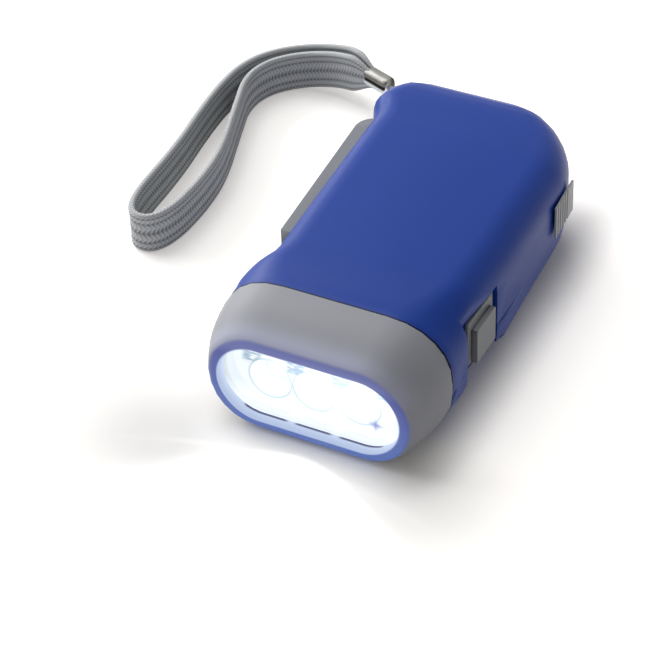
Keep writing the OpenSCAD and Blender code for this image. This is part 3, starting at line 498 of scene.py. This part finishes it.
def knitted(length):
    # V stitches: two slanting strokes in each row, with painted shade between the rows and painted highlights where
    # the strokes stand highest
    yarn = Finish("strap_knit", Roughness=0.9, Specular_IOR_Level=0.15)
    u, v, _ = yarn.uv()
    row = (u * (strap["wales"] * 2 + 2)).maths("FRACT")
    fold = abs(row - 0.5) * 2     # 0 in the middle of a row, 1 in its furrows
    slant = (v * (length / (strap["stitch"] * mm)) + fold * strap["lean"]).maths("FRACT")
    stroke = abs(slant - 0.5) * 2
    fibres = yarn.noise(strap["fibre"])
    tone = yarn.noise(strap["patch"])
    height = stroke * strap["strokeHigh"] + (1 - fold ** 2.0) * strap["rowHigh"] + fibres * strap["fibreHigh"]
    shade = yarn.ramp(height, *strap["lit"])
    colour = strap["colour"]
    knit = yarn.blend((shade * (1 - strap["patchShare"]) + tone * strap["patchShare"]).clamp(),
                      toned(colour, strap["furrow"]), toned(colour, strap["crestHighlight"]))
    # the rolled edges, with painted shade between their strokes
    rolled = yarn.blend((stroke * 0.7 + fibres * 0.4).clamp(), toned(colour, strap["under"]), strap["edge"])
    atEdge = yarn.ramp(abs((u * 2).maths("FRACT") - 0.5), *strap["edgeSpan"], 1, 0)
    yarn.set("Base Color", yarn.blend(atEdge, knit, rolled))
    yarn.bump(height, strap["depth"], 0.9)
    return yarn


def makeStrap():
    line, length = route(strap["path"], strap["spacing"])
    last = len(line) - 1
    wide, thick, thin = strap["width"], strap["thick"], strap["middle"]
    ripple = strap["ripple"] * mm

    def outline(u, k):
        # u runs up one face, over the edge, down the other face and under the lower edge
        v = length * k / last
        spread = ease(min(v, length - v) / (strap["pinchLength"] * mm))
        halfHigh = (strap["pinchWidth"] + (wide - strap["pinchWidth"]) * spread) * mm / 2
        halfThick = (strap["pinchThick"] + (thick - strap["pinchThick"]) * spread) * mm / 2
        turn = 2 * math.pi * u
        thickness = rounded(math.cos(turn), strap["square"][0])
        width = rounded(math.sin(turn), strap["square"][1])
        # the edges are rolled a little thicker than the middle
        roll = thin + (1 - thin) * ease((abs(width) - strap["rollFrom"]) / strap["rollOver"])
        row = width * (strap["wales"] / 2 + 0.5)
        furrow = 1 - abs(math.cos(math.pi * row))
        dent = strap["relief"] * mm * furrow * spread * (1 - abs(width) ** 6)
        stitchAt = v / (strap["stitch"] * mm) + abs((row % 1) - 0.5) * strap["lean"]
        swell = ripple * abs(math.sin(math.pi * stitchAt)) * spread
        across = thickness * (halfThick * roll - dent - ripple + swell)
        height = width * (halfHigh - strap["inset"] * mm + swell * strap["rippleHigh"])
        return across, height

    work, _ = tube(line, outline, strap["around"])
    piece = finishPiece(work, "strap_band", "case", knitted(length), strap["smooth"], "wrist_strap")
    line[::4] + [line[-1]]
    print("strap", round(length, 4))


crimp = {
    "from": (-45.3, 69.9, 10.4), "to": (-38.2, 66.95, 10.5),
    "thick": 4.0, "high": 4.8,    # millimetres over both rolls
    "square": (0.62, 0.8),        # the less, the squarer the section across the thickness and the height
    "groove": 0.32, "slitWide": 0.13,                 # depth and width of the slit, as shares of half the size
    "rim": 0.05, "rimLong": 1.2,  # how far the two mouths draw in, and over how many of the steps
    "wall": 0.35, "hollow": 0.8, "steps": 30, "around": 64, "smooth": 40,
    "bright": (0.3, 0.297, 0.28), "dull": (0.15, 0.147, 0.132),
    # painted reflection: the lower roll is lighter; painted shade: the slit is near black
    "lower": (0.66, 0.68, 0.72), "slit": (0.02, 0.02, 0.018),
    "slitHalf": (0.02, 0.036), "lowerFrom": (0.7, 0.75),          # shares of the turn
    "drawn": (0.15, 1, 1), "line": 0.00025, "patch": 0.0016,      # the lines run along X; sizes in metres
    "rough": 0.3, "depth": 0.00001,
}


def nickel():
    skin = Finish("crimp_nickel", Metallic=1.0)
    u, _, _ = skin.uv()
    slit = skin.ramp(abs((u + 0.5).maths("FRACT") - 0.5), *crimp["slitHalf"], 1, 0)
    lines = skin.noise(crimp["line"], detail=3, where=skin.stretched(crimp["drawn"]))
    cloud = skin.noise(crimp["patch"], detail=3, rough=0.6)
    plate = skin.blend((lines * 0.35 + cloud * 0.8 - 0.1).clamp(), crimp["dull"], crimp["bright"])
    # painted reflection: the lower roll is lighter
    plate = skin.blend(skin.ramp(u, *crimp["lowerFrom"]), plate, crimp["lower"])
    # painted shade: the slit is near black
    skin.set("Base Color", skin.blend(slit, plate, crimp["slit"]))
    skin.set("Roughness", lines * 0.2 + slit * 0.3 + crimp["rough"])
    skin.bump(lines, crimp["depth"])
    return skin


def makeCrimp():
    start, end = (Vector(crimp[key]) * mm for key in ("from", "to"))
    steps = crimp["steps"]
    line = [start.lerp(end, i / steps) for i in range(steps + 1)]

    def outline(u, k):
        turn = 2 * math.pi * u
        c, s = math.cos(turn), math.sin(turn)
        pinch = 1 - (crimp["groove"] * math.exp(-(s / crimp["slitWide"]) ** 2) if c > 0 else 0)
        rim = 1 - crimp["rim"] * math.exp(-(min(k, steps - k) / crimp["rimLong"]) ** 2)
        across = rounded(c, crimp["square"][0]) * crimp["thick"] / 2 * pinch * rim
        height = rounded(s, crimp["square"][1]) * crimp["high"] / 2 * rim
        return across * mm, height * mm

    work, ends = tube(line, outline, crimp["around"])
    bmesh.ops.inset_region(work, faces=ends, thickness=crimp["wall"] * mm, depth=-crimp["hollow"] * mm)
    return finishPiece(work, "crimp_rolls", "case", nickel(), crimp["smooth"], "strap_crimp")


string = {
    "path": [
        (-16.3, 45.1, 13), (-15.7, 43.2, 13), (-16.7, 41.3, 13), (-18.6, 40.7, 13), (-20.5, 41.7, 13),
        (-21.1, 43.6, 13), (-20.9, 46, 13), (-21, 48.4, 13), (-22.2, 51, 13), (-23.5, 53.4, 13),
        (-26.5, 57.6, 12.6), (-29.8, 61.2, 11.8), (-33, 64, 10.8), (-35.8, 65.9, 10.3), (-38.4, 67, 10.2),
    ],
    "diameter": 1.6, "strands": 5, "lay": 3.4,        # millimetres; the lay is one whole twist
    "core": 0.90, "strand": 0.06, # radius without the strands and what they add, as shares
    "colour": (0.62, 0.62, 0.66), "dark": 0.75, "light": 1.2,
    "fuzz": 0.00015, "patch": 0.002, "depth": 0.00006, "spacing": 0.0003,         # metres
    "around": 40, "smooth": 60,
}


def stringFibre():
    fibre = Finish("string_fibre", Roughness=0.8, Specular_IOR_Level=0.2)
    fuzz = fibre.noise(string["fuzz"], detail=3)
    tone = fibre.noise(string["patch"])
    fibre.set("Base Color", fibre.blend((fuzz * 0.6 + tone * 0.4).clamp(), toned(string["colour"], string["dark"]),
                                        toned(string["colour"], string["light"])))
    fibre.bump(fuzz, string["depth"])
    return fibre


def makeString(crimpPiece):
    line, length = route(string["path"], string["spacing"])
    radius = string["diameter"] * mm / 2
    last = len(line) - 1

    def outline(u, k):
        turn = 2 * math.pi * u
        twist = string["strands"] * (turn - 2 * math.pi * length * k / last / (string["lay"] * mm))
        r = radius * (string["core"] + string["strand"] * math.cos(twist))
        return math.cos(turn) * r, math.sin(turn) * r

    work, _ = tube(line, outline, string["around"])
    piece = finishPiece(work, "string_loop", "case", stringFibre(), string["smooth"], "strap_string")
    line[::4] + [line[-1]]
    print("string", round(length, 4))


makeStrap()
makeString(makeCrimp())
print("strap, string and crimp made")


edges = {
    "angle": 32, "segments": 3,   # only edges sharper than this are softened, degrees
    "merge": 0.000002, "sliver": 0.000004, "seam": 0.00002,       # metres
}


def mergedCopy(node):
    # the CAD node's mesh with its doubles merged
    work = bmesh.new()
    work.from_mesh(nodes[node].data)
    bmesh.ops.remove_doubles(work, verts=work.verts, dist=edges["merge"])
    bmesh.ops.dissolve_degenerate(work, edges=work.edges, dist=edges["sliver"])
    return work


def markEdges(work, seam):
    # edges sharper than the angle are to be softened, but not those that lie along a seam's height
    weight = work.edges.layers.float.new("bevel_weight_edge")
    for edge in work.edges:
        hidden = seam is not None and all(abs(vert.co.z - seam) < edges["seam"] for vert in edge.verts)
        if len(edge.link_faces) == 2 and not hidden and edge.calc_face_angle(0) > math.radians(edges["angle"]):
            edge[weight] = 1


def dress(node, name, rides, finish, look):
    # a piece of the CAD node's own shape, with its edges softened as its dictionary says
    work = mergedCopy(node)
    markEdges(work, look.get("seam"))
    piece = finishPiece(work, name, rides, finish, look["smooth"], node)
    edge = piece.modifiers.new("edge", "BEVEL")
    edge.width = look["edge"]
    edge.segments = edges["segments"]
    edge.limit_method = "WEIGHT"
    edge.harden_normals = True
    edge.use_clamp_overlap = True


shells = {
    "colour": (0.0045, 0.038, 0.27), "rough": 0.38, "gloss": 0.17,
    "joint": (0.1, 0.35), "jointShare": 0.85,         # painted shade in the gap beside the head, millimetres
    "jointShadeColour": (0.001, 0.003, 0.02),
    "seam": 0.013,                # metres up: no line shows between the shells on the flank
    "edge": 0.00025, "smooth": 40,                    # width of the softened edges in metres, and an angle
}


def shellBlue():
    skin = moulded("blue_abs", shells["colour"], shells["rough"], level=shells["gloss"])
    # painted shade in the gap where the shells meet the head
    paintedJointShade = skin.fade(skin.xyz()[1], shells["joint"], shells["jointShare"], 0,
                         origin=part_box("head_shell")[1][1])
    skin.set("Base Color", skin.blend(paintedJointShade, skin.colourSoFar(), shells["jointShadeColour"]))
    return skin


def makeShells(finish):
    for node in ("top_shell", "bottom_shell"):
        dress(node, node.replace("_", "_skin_"), "case", finish, shells)


head = {
    "colour": (0.265, 0.272, 0.3), "rough": 0.5, "gloss": 0.3, "edge": 0.0003, "smooth": 40,
}
glow = {
    "openWide": 43.0, "openHigh": 19.0, "lip": 2.4,   # the opening and the lip's face round it, millimetres
    "wall": (0.54, 0.64, 0.82), "wallFront": 0.7,     # light that the lamps throw on the opening's wall
    "wallSpan": (0.1, 0.5), "wallDeep": (0, 0.4),
    "face": (0.022, 0.038, 0.235), "faceLow": (0.045, 0.1, 0.35), "faceLeft": 0.04,     # and on the lip
    "faceSpan": (-0.5, 0.4), "faceDeep": (0.6, 3.2), "faceRise": (-10, 9),
    "halo": (0.105, 0.112, 0.18),                     # and on the head above the lip
    "haloFrom": (-0.6, 0.2), "haloTo": (0.6, 4), "haloDeep": (1, 8), "haloRise": (3, 9),
    "haloSide": (8, 20), "haloFar": 0.3,
    "shade": (0.09, 0.095, 0.125), "shadeShare": 1.2, # painted shade: the grey darkened on the lip's face and the opening's wall beside the bright opening
    "shadeRise": (5, 10), "shadeTop": 0.42,
    "crescent": (0.03, 0.035, 0.13),                  # painted shade: dark lines low in the opening, one below each cup
    "crescentAt": (10.1, 10.7), "crescentRise": (-8.6, -8.0), "crescentDeep": (-1.0, -0.6),
}


def slotDistance(skin):
    # how far a point lies from the middle line of the lens opening
    x, _, z = skin.xyz()
    straight = (glow["openWide"] - glow["openHigh"]) * mm / 2
    return distance((abs(x) - straight).maths("MAXIMUM", 0.0), z - lensMiddle())


def cupDistance(skin):
    # how far a point lies from the nearest cup's axis, seen along the torch
    x, _, z = skin.xyz()
    up = z - lensMiddle()
    nearest = None
    for node in ("led_left", "led_middle", "led_right"):
        low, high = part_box(node)
        away = distance(x - (low[0] + high[0]) / 2, up)
        nearest = away if nearest is None else nearest.maths("MINIMUM", away)
    return nearest


def litGrey():
    skin = moulded("grey_head", head["colour"], head["rough"], level=head["gloss"])
    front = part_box("head_shell")[0][1]
    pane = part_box("lens")[0][1]
    x, depth, z = skin.xyz()
    rise = z - lensMiddle()
    away = slotDistance(skin)
    inner = glow["openHigh"] * mm / 2
    outer = inner + glow["lip"] * mm

    wall = (skin.fade(away, glow["wallSpan"], 1, 0, origin=inner)
            * skin.ramp(depth, front, pane, glow["wallFront"], 1)
            * skin.fade(depth, glow["wallDeep"], 1, 0, origin=pane))
    face = (skin.fade(away, glow["faceSpan"], 1, glow["faceLeft"], origin=outer)
            * skin.fade(depth, glow["faceDeep"], 1, 0, origin=front))
    # painted shade in the opening's glow, one dark line below each cup
    crescent = (skin.fade(depth, glow["crescentDeep"], origin=pane) * skin.fade(rise, glow["crescentRise"], 1, 0)
                * skin.fade(cupDistance(skin), glow["crescentAt"], 1, 0) * wall)
    halo = (skin.fade(away, glow["haloFrom"], origin=outer) * skin.fade(away, glow["haloTo"], 1, 0, origin=outer)
            * skin.fade(depth, glow["haloDeep"], 1, 0, origin=front) * skin.fade(rise, glow["haloRise"])
            * skin.fade(x, glow["haloSide"], 1, glow["haloFar"]))

    # painted shade on the lip's face and the opening's wall, lighter towards the top
    shaded = face * glow["shadeShare"] * skin.fade(rise, glow["shadeRise"], 1, glow["shadeTop"]) + wall
    skin.set("Base Color", skin.blend(shaded.clamp(), skin.colourSoFar(), glow["shade"]))
    lip = skin.blend(skin.fade(rise, glow["faceRise"]), glow["faceLow"], glow["face"])
    light = skin.blend(face, skin.blend(halo, (0, 0, 0), glow["halo"]), lip)
    light = skin.blend(wall, light, glow["wall"])
    skin.set("Emission Color", skin.blend(crescent, light, glow["crescent"]))
    skin.set("Emission Strength", 1.0)
    return skin


def makeHead():
    dress("head_shell", "head_skin", "case", litGrey(), head)


lever = {
    "colour": (0.2, 0.208, 0.228), "rough": 0.5, "gloss": 0.3, "edge": 0.0005, "smooth": 35,
}


def makeLever(finish):
    dress("squeeze_lever", "lever_skin", "lever", finish, lever)


bluePlastic = shellBlue()
greyPlastic = moulded("grey_abs", lever["colour"], lever["rough"], level=lever["gloss"])
makeShells(bluePlastic)
makeHead()
makeLever(greyPlastic)
print("shells, head and lever made")


knob = {
    "colour": (0.205, 0.215, 0.228), "rough": 0.46, "edge": 0.0004, "smooth": 35,
    "paddle": 1.5, "paddleAt": 1.2,                   # how far it stands out, and how far behind the base's front
    "shadow": (0.02, 0.02, 0.025), "foot": 0.85, "front": 0.6,    # its share on the foot and the front wall
    "above": (0.02, 0.06), "footSpan": (0.3, 0.6), "frontSpan": (0.12, 0.3),
}
lock = {
    "colour": (0.36, 0.37, 0.39), "rough": 0.46, "edge": 0.0001, "smooth": 35,
}


def shadePaddle(skin):
    # the foot of the paddle and its front wall lie in shadow
    low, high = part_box("switch_knob")
    x, y, _ = skin.xyz()
    root = high[0] - knob["paddle"] * mm
    above = skin.fade(x, knob["above"], origin=root)
    foot = above * skin.fade(x, knob["footSpan"], 1, 0, origin=root)
    wall = above * skin.fade(y, knob["frontSpan"], knob["front"], 0, origin=low[1] + knob["paddleAt"] * mm)
    dark = (foot * knob["foot"]).maths("MAXIMUM", wall)
    skin.set("Base Color", skin.blend(dark, skin.colourSoFar(), knob["shadow"]))


def makeKnob():
    skin = moulded("switch_grey", knob["colour"], knob["rough"])
    shadePaddle(skin)
    dress("switch_knob", "knob_skin", "switch", skin, knob)


def makeLock():
    skin = moulded("lock_grey", lock["colour"], lock["rough"])
    dress("lock_slider", "lock_skin", "lock", skin, lock)


makeKnob()
makeLock()
print("knob and lock made")


glass = {
    "colour": (0.97, 0.99, 1.0), "ior": 1.49,
    "scuffs": (0.55, 0.75), "clear": 0.015, "scuffed": 0.06,      # how rough it is beside and in the scuffs
    "swirl": 0.006, "scuff": 0.0004, "depth": 0.00002,            # metres
    "swirlRough": 0.01,
}
# the lamps' light on the reflector, painted into its glow, with painted shade in rings, between the cups and in a
# star
mirror = {
    "rings": (5.1, 3.3), "ringHalf": (0.08, 0.3), "ringShare": 0.8,           # painted shade in faint rings in each cup
    "bright": (0.93, 0.965, 1.0), "ring": (0.50, 0.66, 0.80), "wedge": (0.36, 0.50, 0.63),
    "wedgeAt": (-4.2, 4.6),       # painted shade between the cups, repeated at the lamps' pitch
    "wedgeHigh": (1.2, 2.1), "wedgeWide": (1.5, 2.9),
    "star": (0.22, 0.27, 0.62), "starAt": (14.4, 8.4), "starSpan": (0.3, 2.1), "starPower": 0.7,
    "low": (0.9, 0.95, 1.0), "lowSpan": (-9.9, -9.4),
    "lit": (1.05, 0.8), "litSpan": (-8, -2),          # how bright it is below and above
    "streaks": (0.35, 1, 1.8), "streak": 0.0009, "streakSpan": (0.3, 0.55), "streakRough": 0.1,
    "rough": 0.08, "own": 0.3,    # what is left of the colour without the lamps
}
lamp = {
    "glow": 1.6, "tip": (1, 1, 1), "root": (0.55, 0.72, 0.95),
    "tipLong": 2.2, "rootLong": 3,                    # millimetres
    "dull": (0.85, 0.88, 0.92), "clear": (0.95, 0.96, 0.98), "patch": 0.0012,
    "rough": 0.04, "patchRough": 0.08,
}


def clearPlastic():
    skin = Finish("clear_lens", Base_Color=glass["colour"], IOR=glass["ior"], Transmission_Weight=1.0)
    swirl = skin.noise(glass["swirl"])
    scuffed = skin.ramp(skin.noise(glass["scuff"]), *glass["scuffs"], glass["clear"], glass["scuffed"])
    skin.set("Roughness", scuffed + swirl * glass["swirlRough"])
    skin.bump(swirl, glass["depth"])
    return skin


def litReflector():
    skin = Finish("bright_reflector", Metallic=1.0, Emission_Strength=1.0)
    x, _, z = skin.xyz()
    rise = z - lensMiddle()
    nearest = cupDistance(skin)
    first, second = (skin.fade(abs(nearest - radius * mm), mirror["ringHalf"], 1, 0) for radius in mirror["rings"])
    rings = first.maths("MAXIMUM", second)
    streak = skin.noise(mirror["streak"], where=skin.stretched(mirror["streaks"]))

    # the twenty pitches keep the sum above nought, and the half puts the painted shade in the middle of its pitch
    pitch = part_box("led_right")[0][0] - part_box("led_middle")[0][0]
    side, up = (value * mm for value in mirror["wedgeAt"])
    between = abs((((x - side) / pitch + 20.5).maths("FRACT") - 0.5) * pitch)
    wedge = (skin.fade(abs(rise - up), mirror["wedgeHigh"], 1, 0) * skin.fade(between, mirror["wedgeWide"], 1, 0)
             * skin.ramp(streak, *mirror["streakSpan"]))
    starX, starZ = (abs(value - at * mm) / mm for value, at in zip((x, z), mirror["starAt"]))
    star = skin.ramp(starX ** mirror["starPower"] + starZ ** mirror["starPower"], *mirror["starSpan"], 1, 0)

    colour = skin.blend(rings * mirror["ringShare"], mirror["bright"], mirror["ring"])
    colour = skin.blend(wedge, colour, mirror["wedge"])
    colour = skin.blend(star, colour, mirror["star"])
    colour = skin.blend(skin.fade(rise, mirror["lowSpan"], 1, 0), colour, mirror["low"])
    skin.set("Emission Color", skin.scaled(colour, skin.fade(rise, mirror["litSpan"], *mirror["lit"])))
    skin.set("Base Color", skin.scaled(colour, mirror["own"]))
    skin.set("Roughness", streak * mirror["streakRough"] + mirror["rough"])
    return skin


def litLamp():
    skin = Finish("lamp_clear", Specular_IOR_Level=0.5, Emission_Strength=lamp["glow"])
    depth = skin.xyz()[1]
    front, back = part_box("led_middle")
    cloud = skin.noise(lamp["patch"])
    along = skin.ramp(depth, front[1] + lamp["tipLong"] * mm, back[1] - lamp["rootLong"] * mm)
    skin.set("Emission Color", skin.blend(along, lamp["tip"], lamp["root"]))
    skin.set("Base Color", skin.blend(cloud, lamp["dull"], lamp["clear"]))
    skin.set("Roughness", cloud * lamp["patchRough"] + lamp["rough"])
    return skin


stains = {"size": 0.004, "share": 0.7, "gloss": 0.12, "lineGloss": 0.16, "depth": 0.000012}


def metal(name, colour, rough, stretch=(1, 1, 30), size=0.0006, stain=0.25):
    # drawn, rolled or turned metal: fine lines that follow the stretch, and faint stains
    skin = Finish(name, Metallic=1.0)
    lines = skin.noise(size * max(stretch), detail=3, where=skin.stretched(stretch))
    cloud = skin.noise(stains["size"], detail=4, rough=0.6)
    worn = (cloud * stains["share"] + lines * (1 - stains["share"])).clamp()
    skin.set("Base Color", skin.blend(worn, toned(colour, 1 - stain), colour))
    skin.set("Roughness", (lines - 0.5) * stains["lineGloss"] + (cloud - 0.5) * stains["gloss"] + rough)
    skin.bump(lines, stains["depth"])
    return skin


magnet = {
    "colour": (0.035, 0.035, 0.038), "dark": 0.6, "light": 1.8,
    "grain": 0.0002, "patch": 0.003, "depth": 0.00002,            # metres
    "rough": 0.35, "grainRough": 0.3, "patchRough": 0.1,
}


def ferrite():
    skin = Finish("magnet_ferrite", Specular_IOR_Level=0.5)
    grains = skin.noise(magnet["grain"], detail=4, rough=0.7)
    cloud = skin.noise(magnet["patch"])
    skin.set("Base Color", skin.blend(grains, toned(magnet["colour"], magnet["dark"]),
                                      toned(magnet["colour"], magnet["light"])))
    skin.set("Roughness", grains * magnet["grainRough"] + cloud * magnet["patchRough"] + magnet["rough"])
    skin.bump(grains, magnet["depth"])
    return skin


wire = {
    # the wire's colour, and how dark the painted shade in the furrows between the turns is
    "colour": (0.62, 0.24, 0.09), "furrow": 0.35,
    "pitch": 0.12,                # millimetres from turn to turn
    "lacquer": 0.4, "lacquerRough": 0.15, "rough": 0.25, "furrowRough": 0.25,
    "patch": 0.0015, "depth": 0.00004,                # metres
}


def windings():
    # turns of lacquered wire that lie side by side, with painted shade in the furrows between them
    skin = Finish("copper_wire", Metallic=1.0, Coat_Weight=wire["lacquer"], Coat_Roughness=wire["lacquerRough"])
    turns = abs((skin.xyz()[2] / (wire["pitch"] * mm)).maths("FRACT") - 0.5) * 2
    cloud = skin.noise(wire["patch"], detail=3)
    skin.set("Base Color", skin.blend((turns * 0.6 + cloud * 0.4).clamp(), wire["colour"],
                                      toned(wire["colour"], wire["furrow"])))
    skin.set("Roughness", turns * wire["furrowRough"] + wire["rough"])
    skin.bump(1 - turns, wire["depth"])
    return skin


board = {
    "mask": (0.01, 0.11, 0.045), "trace": (0.03, 0.24, 0.09), "tin": (0.7, 0.7, 0.69),
    "perMetre": 260, "uneven": 0.55,                  # how many pads there are in a metre, and how they stray
    "track": (0.03, 0.06), "pad": (0.13, 0.17),       # where the tracks and pads end, as shares of the spacing
    "weave": 0.0003, "depth": 0.00003,                # metres
    "weaveDark": 0.8, "weaveRough": 0.1, "rough": 0.28,
}


def circuit(name):
    # green solder mask over copper tracks, with tinned pads
    skin = Finish(name, Specular_IOR_Level=0.5)
    pattern = {"Vector": skin.place(), "Scale": board["perMetre"], "Randomness": board["uneven"]}
    tracks, pads = (skin.add("TexVoronoi", {"feature": feature}, pattern, output="Distance")
                    for feature in ("DISTANCE_TO_EDGE", "F1"))
    copper = skin.ramp(tracks, *board["track"], 1, 0)
    pad = skin.ramp(pads, *board["pad"], 1, 0)
    weave = skin.noise(board["weave"])
    mask = skin.blend(weave, toned(board["mask"], board["weaveDark"]), board["mask"])
    green = skin.blend(copper, mask, board["trace"])
    skin.set("Base Color", skin.blend(pad, green, board["tin"]))
    skin.set("Metallic", pad)
    skin.set("Roughness", weave * board["weaveRough"] + board["rough"])
    skin.bump(copper.maths("MAXIMUM", pad), board["depth"])
    return skin


diode = {
    "black": (0.02, 0.02, 0.022), "band": (0.75, 0.75, 0.73), "lead": (0.7, 0.7, 0.69),
    "leadLong": 1.2, "leadSpan": (-0.01, 0.03),       # millimetres
    "bandAt": 2.0, "bandHalf": (0.32, 0.38),          # counted from the back end
    "speck": 0.0003, "depth": 0.00001,                # metres
    "speckLight": 1.6, "speckRough": 0.15, "rough": 0.3,
}


def rectifier():
    # black body with a pale band, tinned leads at both ends
    skin = Finish("diode_body", Specular_IOR_Level=0.5)
    low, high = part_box("diodes")
    y = skin.xyz()[1]
    bodyEnd = (high[1] - low[1]) / 2 - diode["leadLong"] * mm
    ends = skin.fade(abs(y - (low[1] + high[1]) / 2), diode["leadSpan"], origin=bodyEnd)
    band = skin.fade(abs(y - (high[1] - diode["bandAt"] * mm)), diode["bandHalf"], 1, 0)
    speck = skin.noise(diode["speck"], detail=3)
    dark = skin.blend(speck, diode["black"], toned(diode["black"], diode["speckLight"]))
    skin.set("Base Color", skin.blend(ends, skin.blend(band, dark, diode["band"]), diode["lead"]))
    skin.set("Metallic", ends)
    skin.set("Roughness", speck * diode["speckRough"] + diode["rough"])
    skin.bump(speck, diode["depth"])
    return skin


cell = {
    "plate": (0.62, 0.64, 0.67), "rough": 0.24,
    "seal": (0.02, 0.02, 0.022), "sealAt": 6.95,      # radius of the ring where the cap is sealed, millimetres
    "sealHalf": (0.12, 0.2), "sealDeep": (-0.9, -0.6),
}


def buttonCell():
    # plated steel with a dark ring where the cap is sealed
    skin = metal("cell_nickel", cell["plate"], cell["rough"], stretch=(1, 6, 1), size=0.0008, stain=0.12)
    low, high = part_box("cell")
    x, y, z = skin.xyz()
    away = distance(x - (low[0] + high[0]) / 2, y - (low[1] + high[1]) / 2)
    seal = (skin.fade(abs(away - cell["sealAt"] * mm), cell["sealHalf"], 1, 0)
            * skin.fade(z, cell["sealDeep"], origin=high[2]))
    skin.set("Base Color", skin.blend(seal, skin.colourSoFar(), cell["seal"]))
    skin.set("Metallic", 1 - seal)
    return skin


inside = {
    "steel": (0.56, 0.56, 0.57), "darkSteel": (0.30, 0.30, 0.31), "zinc": (0.62, 0.64, 0.67),
    "nylon": (0.80, 0.79, 0.74), "cream": (0.72, 0.69, 0.60), "black": (0.02, 0.02, 0.022),
}


def finishInside():
    steel = metal("turned_steel", inside["steel"], 0.25)
    plate = metal("rolled_steel", inside["steel"], 0.33, stretch=(30, 1, 1), stain=0.3)
    cup = metal("drawn_steel", inside["darkSteel"], 0.38, stretch=(1, 1, 8), stain=0.35)
    spring = metal("spring_wire", inside["darkSteel"], 0.3, stretch=(1, 1, 1), size=0.0003)
    zinc = metal("zinc_screws", inside["zinc"], 0.3, stretch=(1, 1, 12))
    tabs = metal("spring_tabs", inside["zinc"], 0.22, stretch=(20, 1, 1), stain=0.15)
    nylon = moulded("gear_nylon", inside["nylon"], 0.4, level=0.4, shade=0.08)
    hub = moulded("rotor_nylon", toned(inside["nylon"], 0.92), 0.42, level=0.4, shade=0.08)
    cream = moulded("bobbin_nylon", inside["cream"], 0.5, level=0.35, shade=0.1)
    black = moulded("switch_black", inside["black"], 0.42, level=0.4, shade=0.3)
    lit = litLamp()
    finishes = {
        "lens": clearPlastic(), "reflector": litReflector(),
        "led_left": lit, "led_middle": lit, "led_right": lit, "led_board": circuit("lamp_board"),
        "lever_pin": steel, "first_axle": steel, "second_axle": steel, "rotor_shaft": steel,
        "return_spring": spring, "first_gear": nylon, "second_gear": nylon, "rotor_hub": hub,
        "rotor_magnet": ferrite(), "stator_upper": cup, "stator_lower": cup,
        "coil_bobbin": cream, "coil_winding": windings(), "gear_plate": plate,
        "plate_screws": zinc, "board_screws": zinc, "case_screws": zinc,
        "charge_board": circuit("charging_board"), "diodes": rectifier(),
        "cell": buttonCell(), "cell_tabs": tabs, "switch_body": black,
        # the nodes that a dressed piece stands for
        "top_shell": bluePlastic, "bottom_shell": bluePlastic, "head_shell": greyPlastic,
        "squeeze_lever": greyPlastic, "switch_knob": greyPlastic, "lock_slider": greyPlastic,
    }
    for node, finish in finishes.items():
        paint(nodes[node], finish)


finishInside()
print("lens, lamps and inside finished")
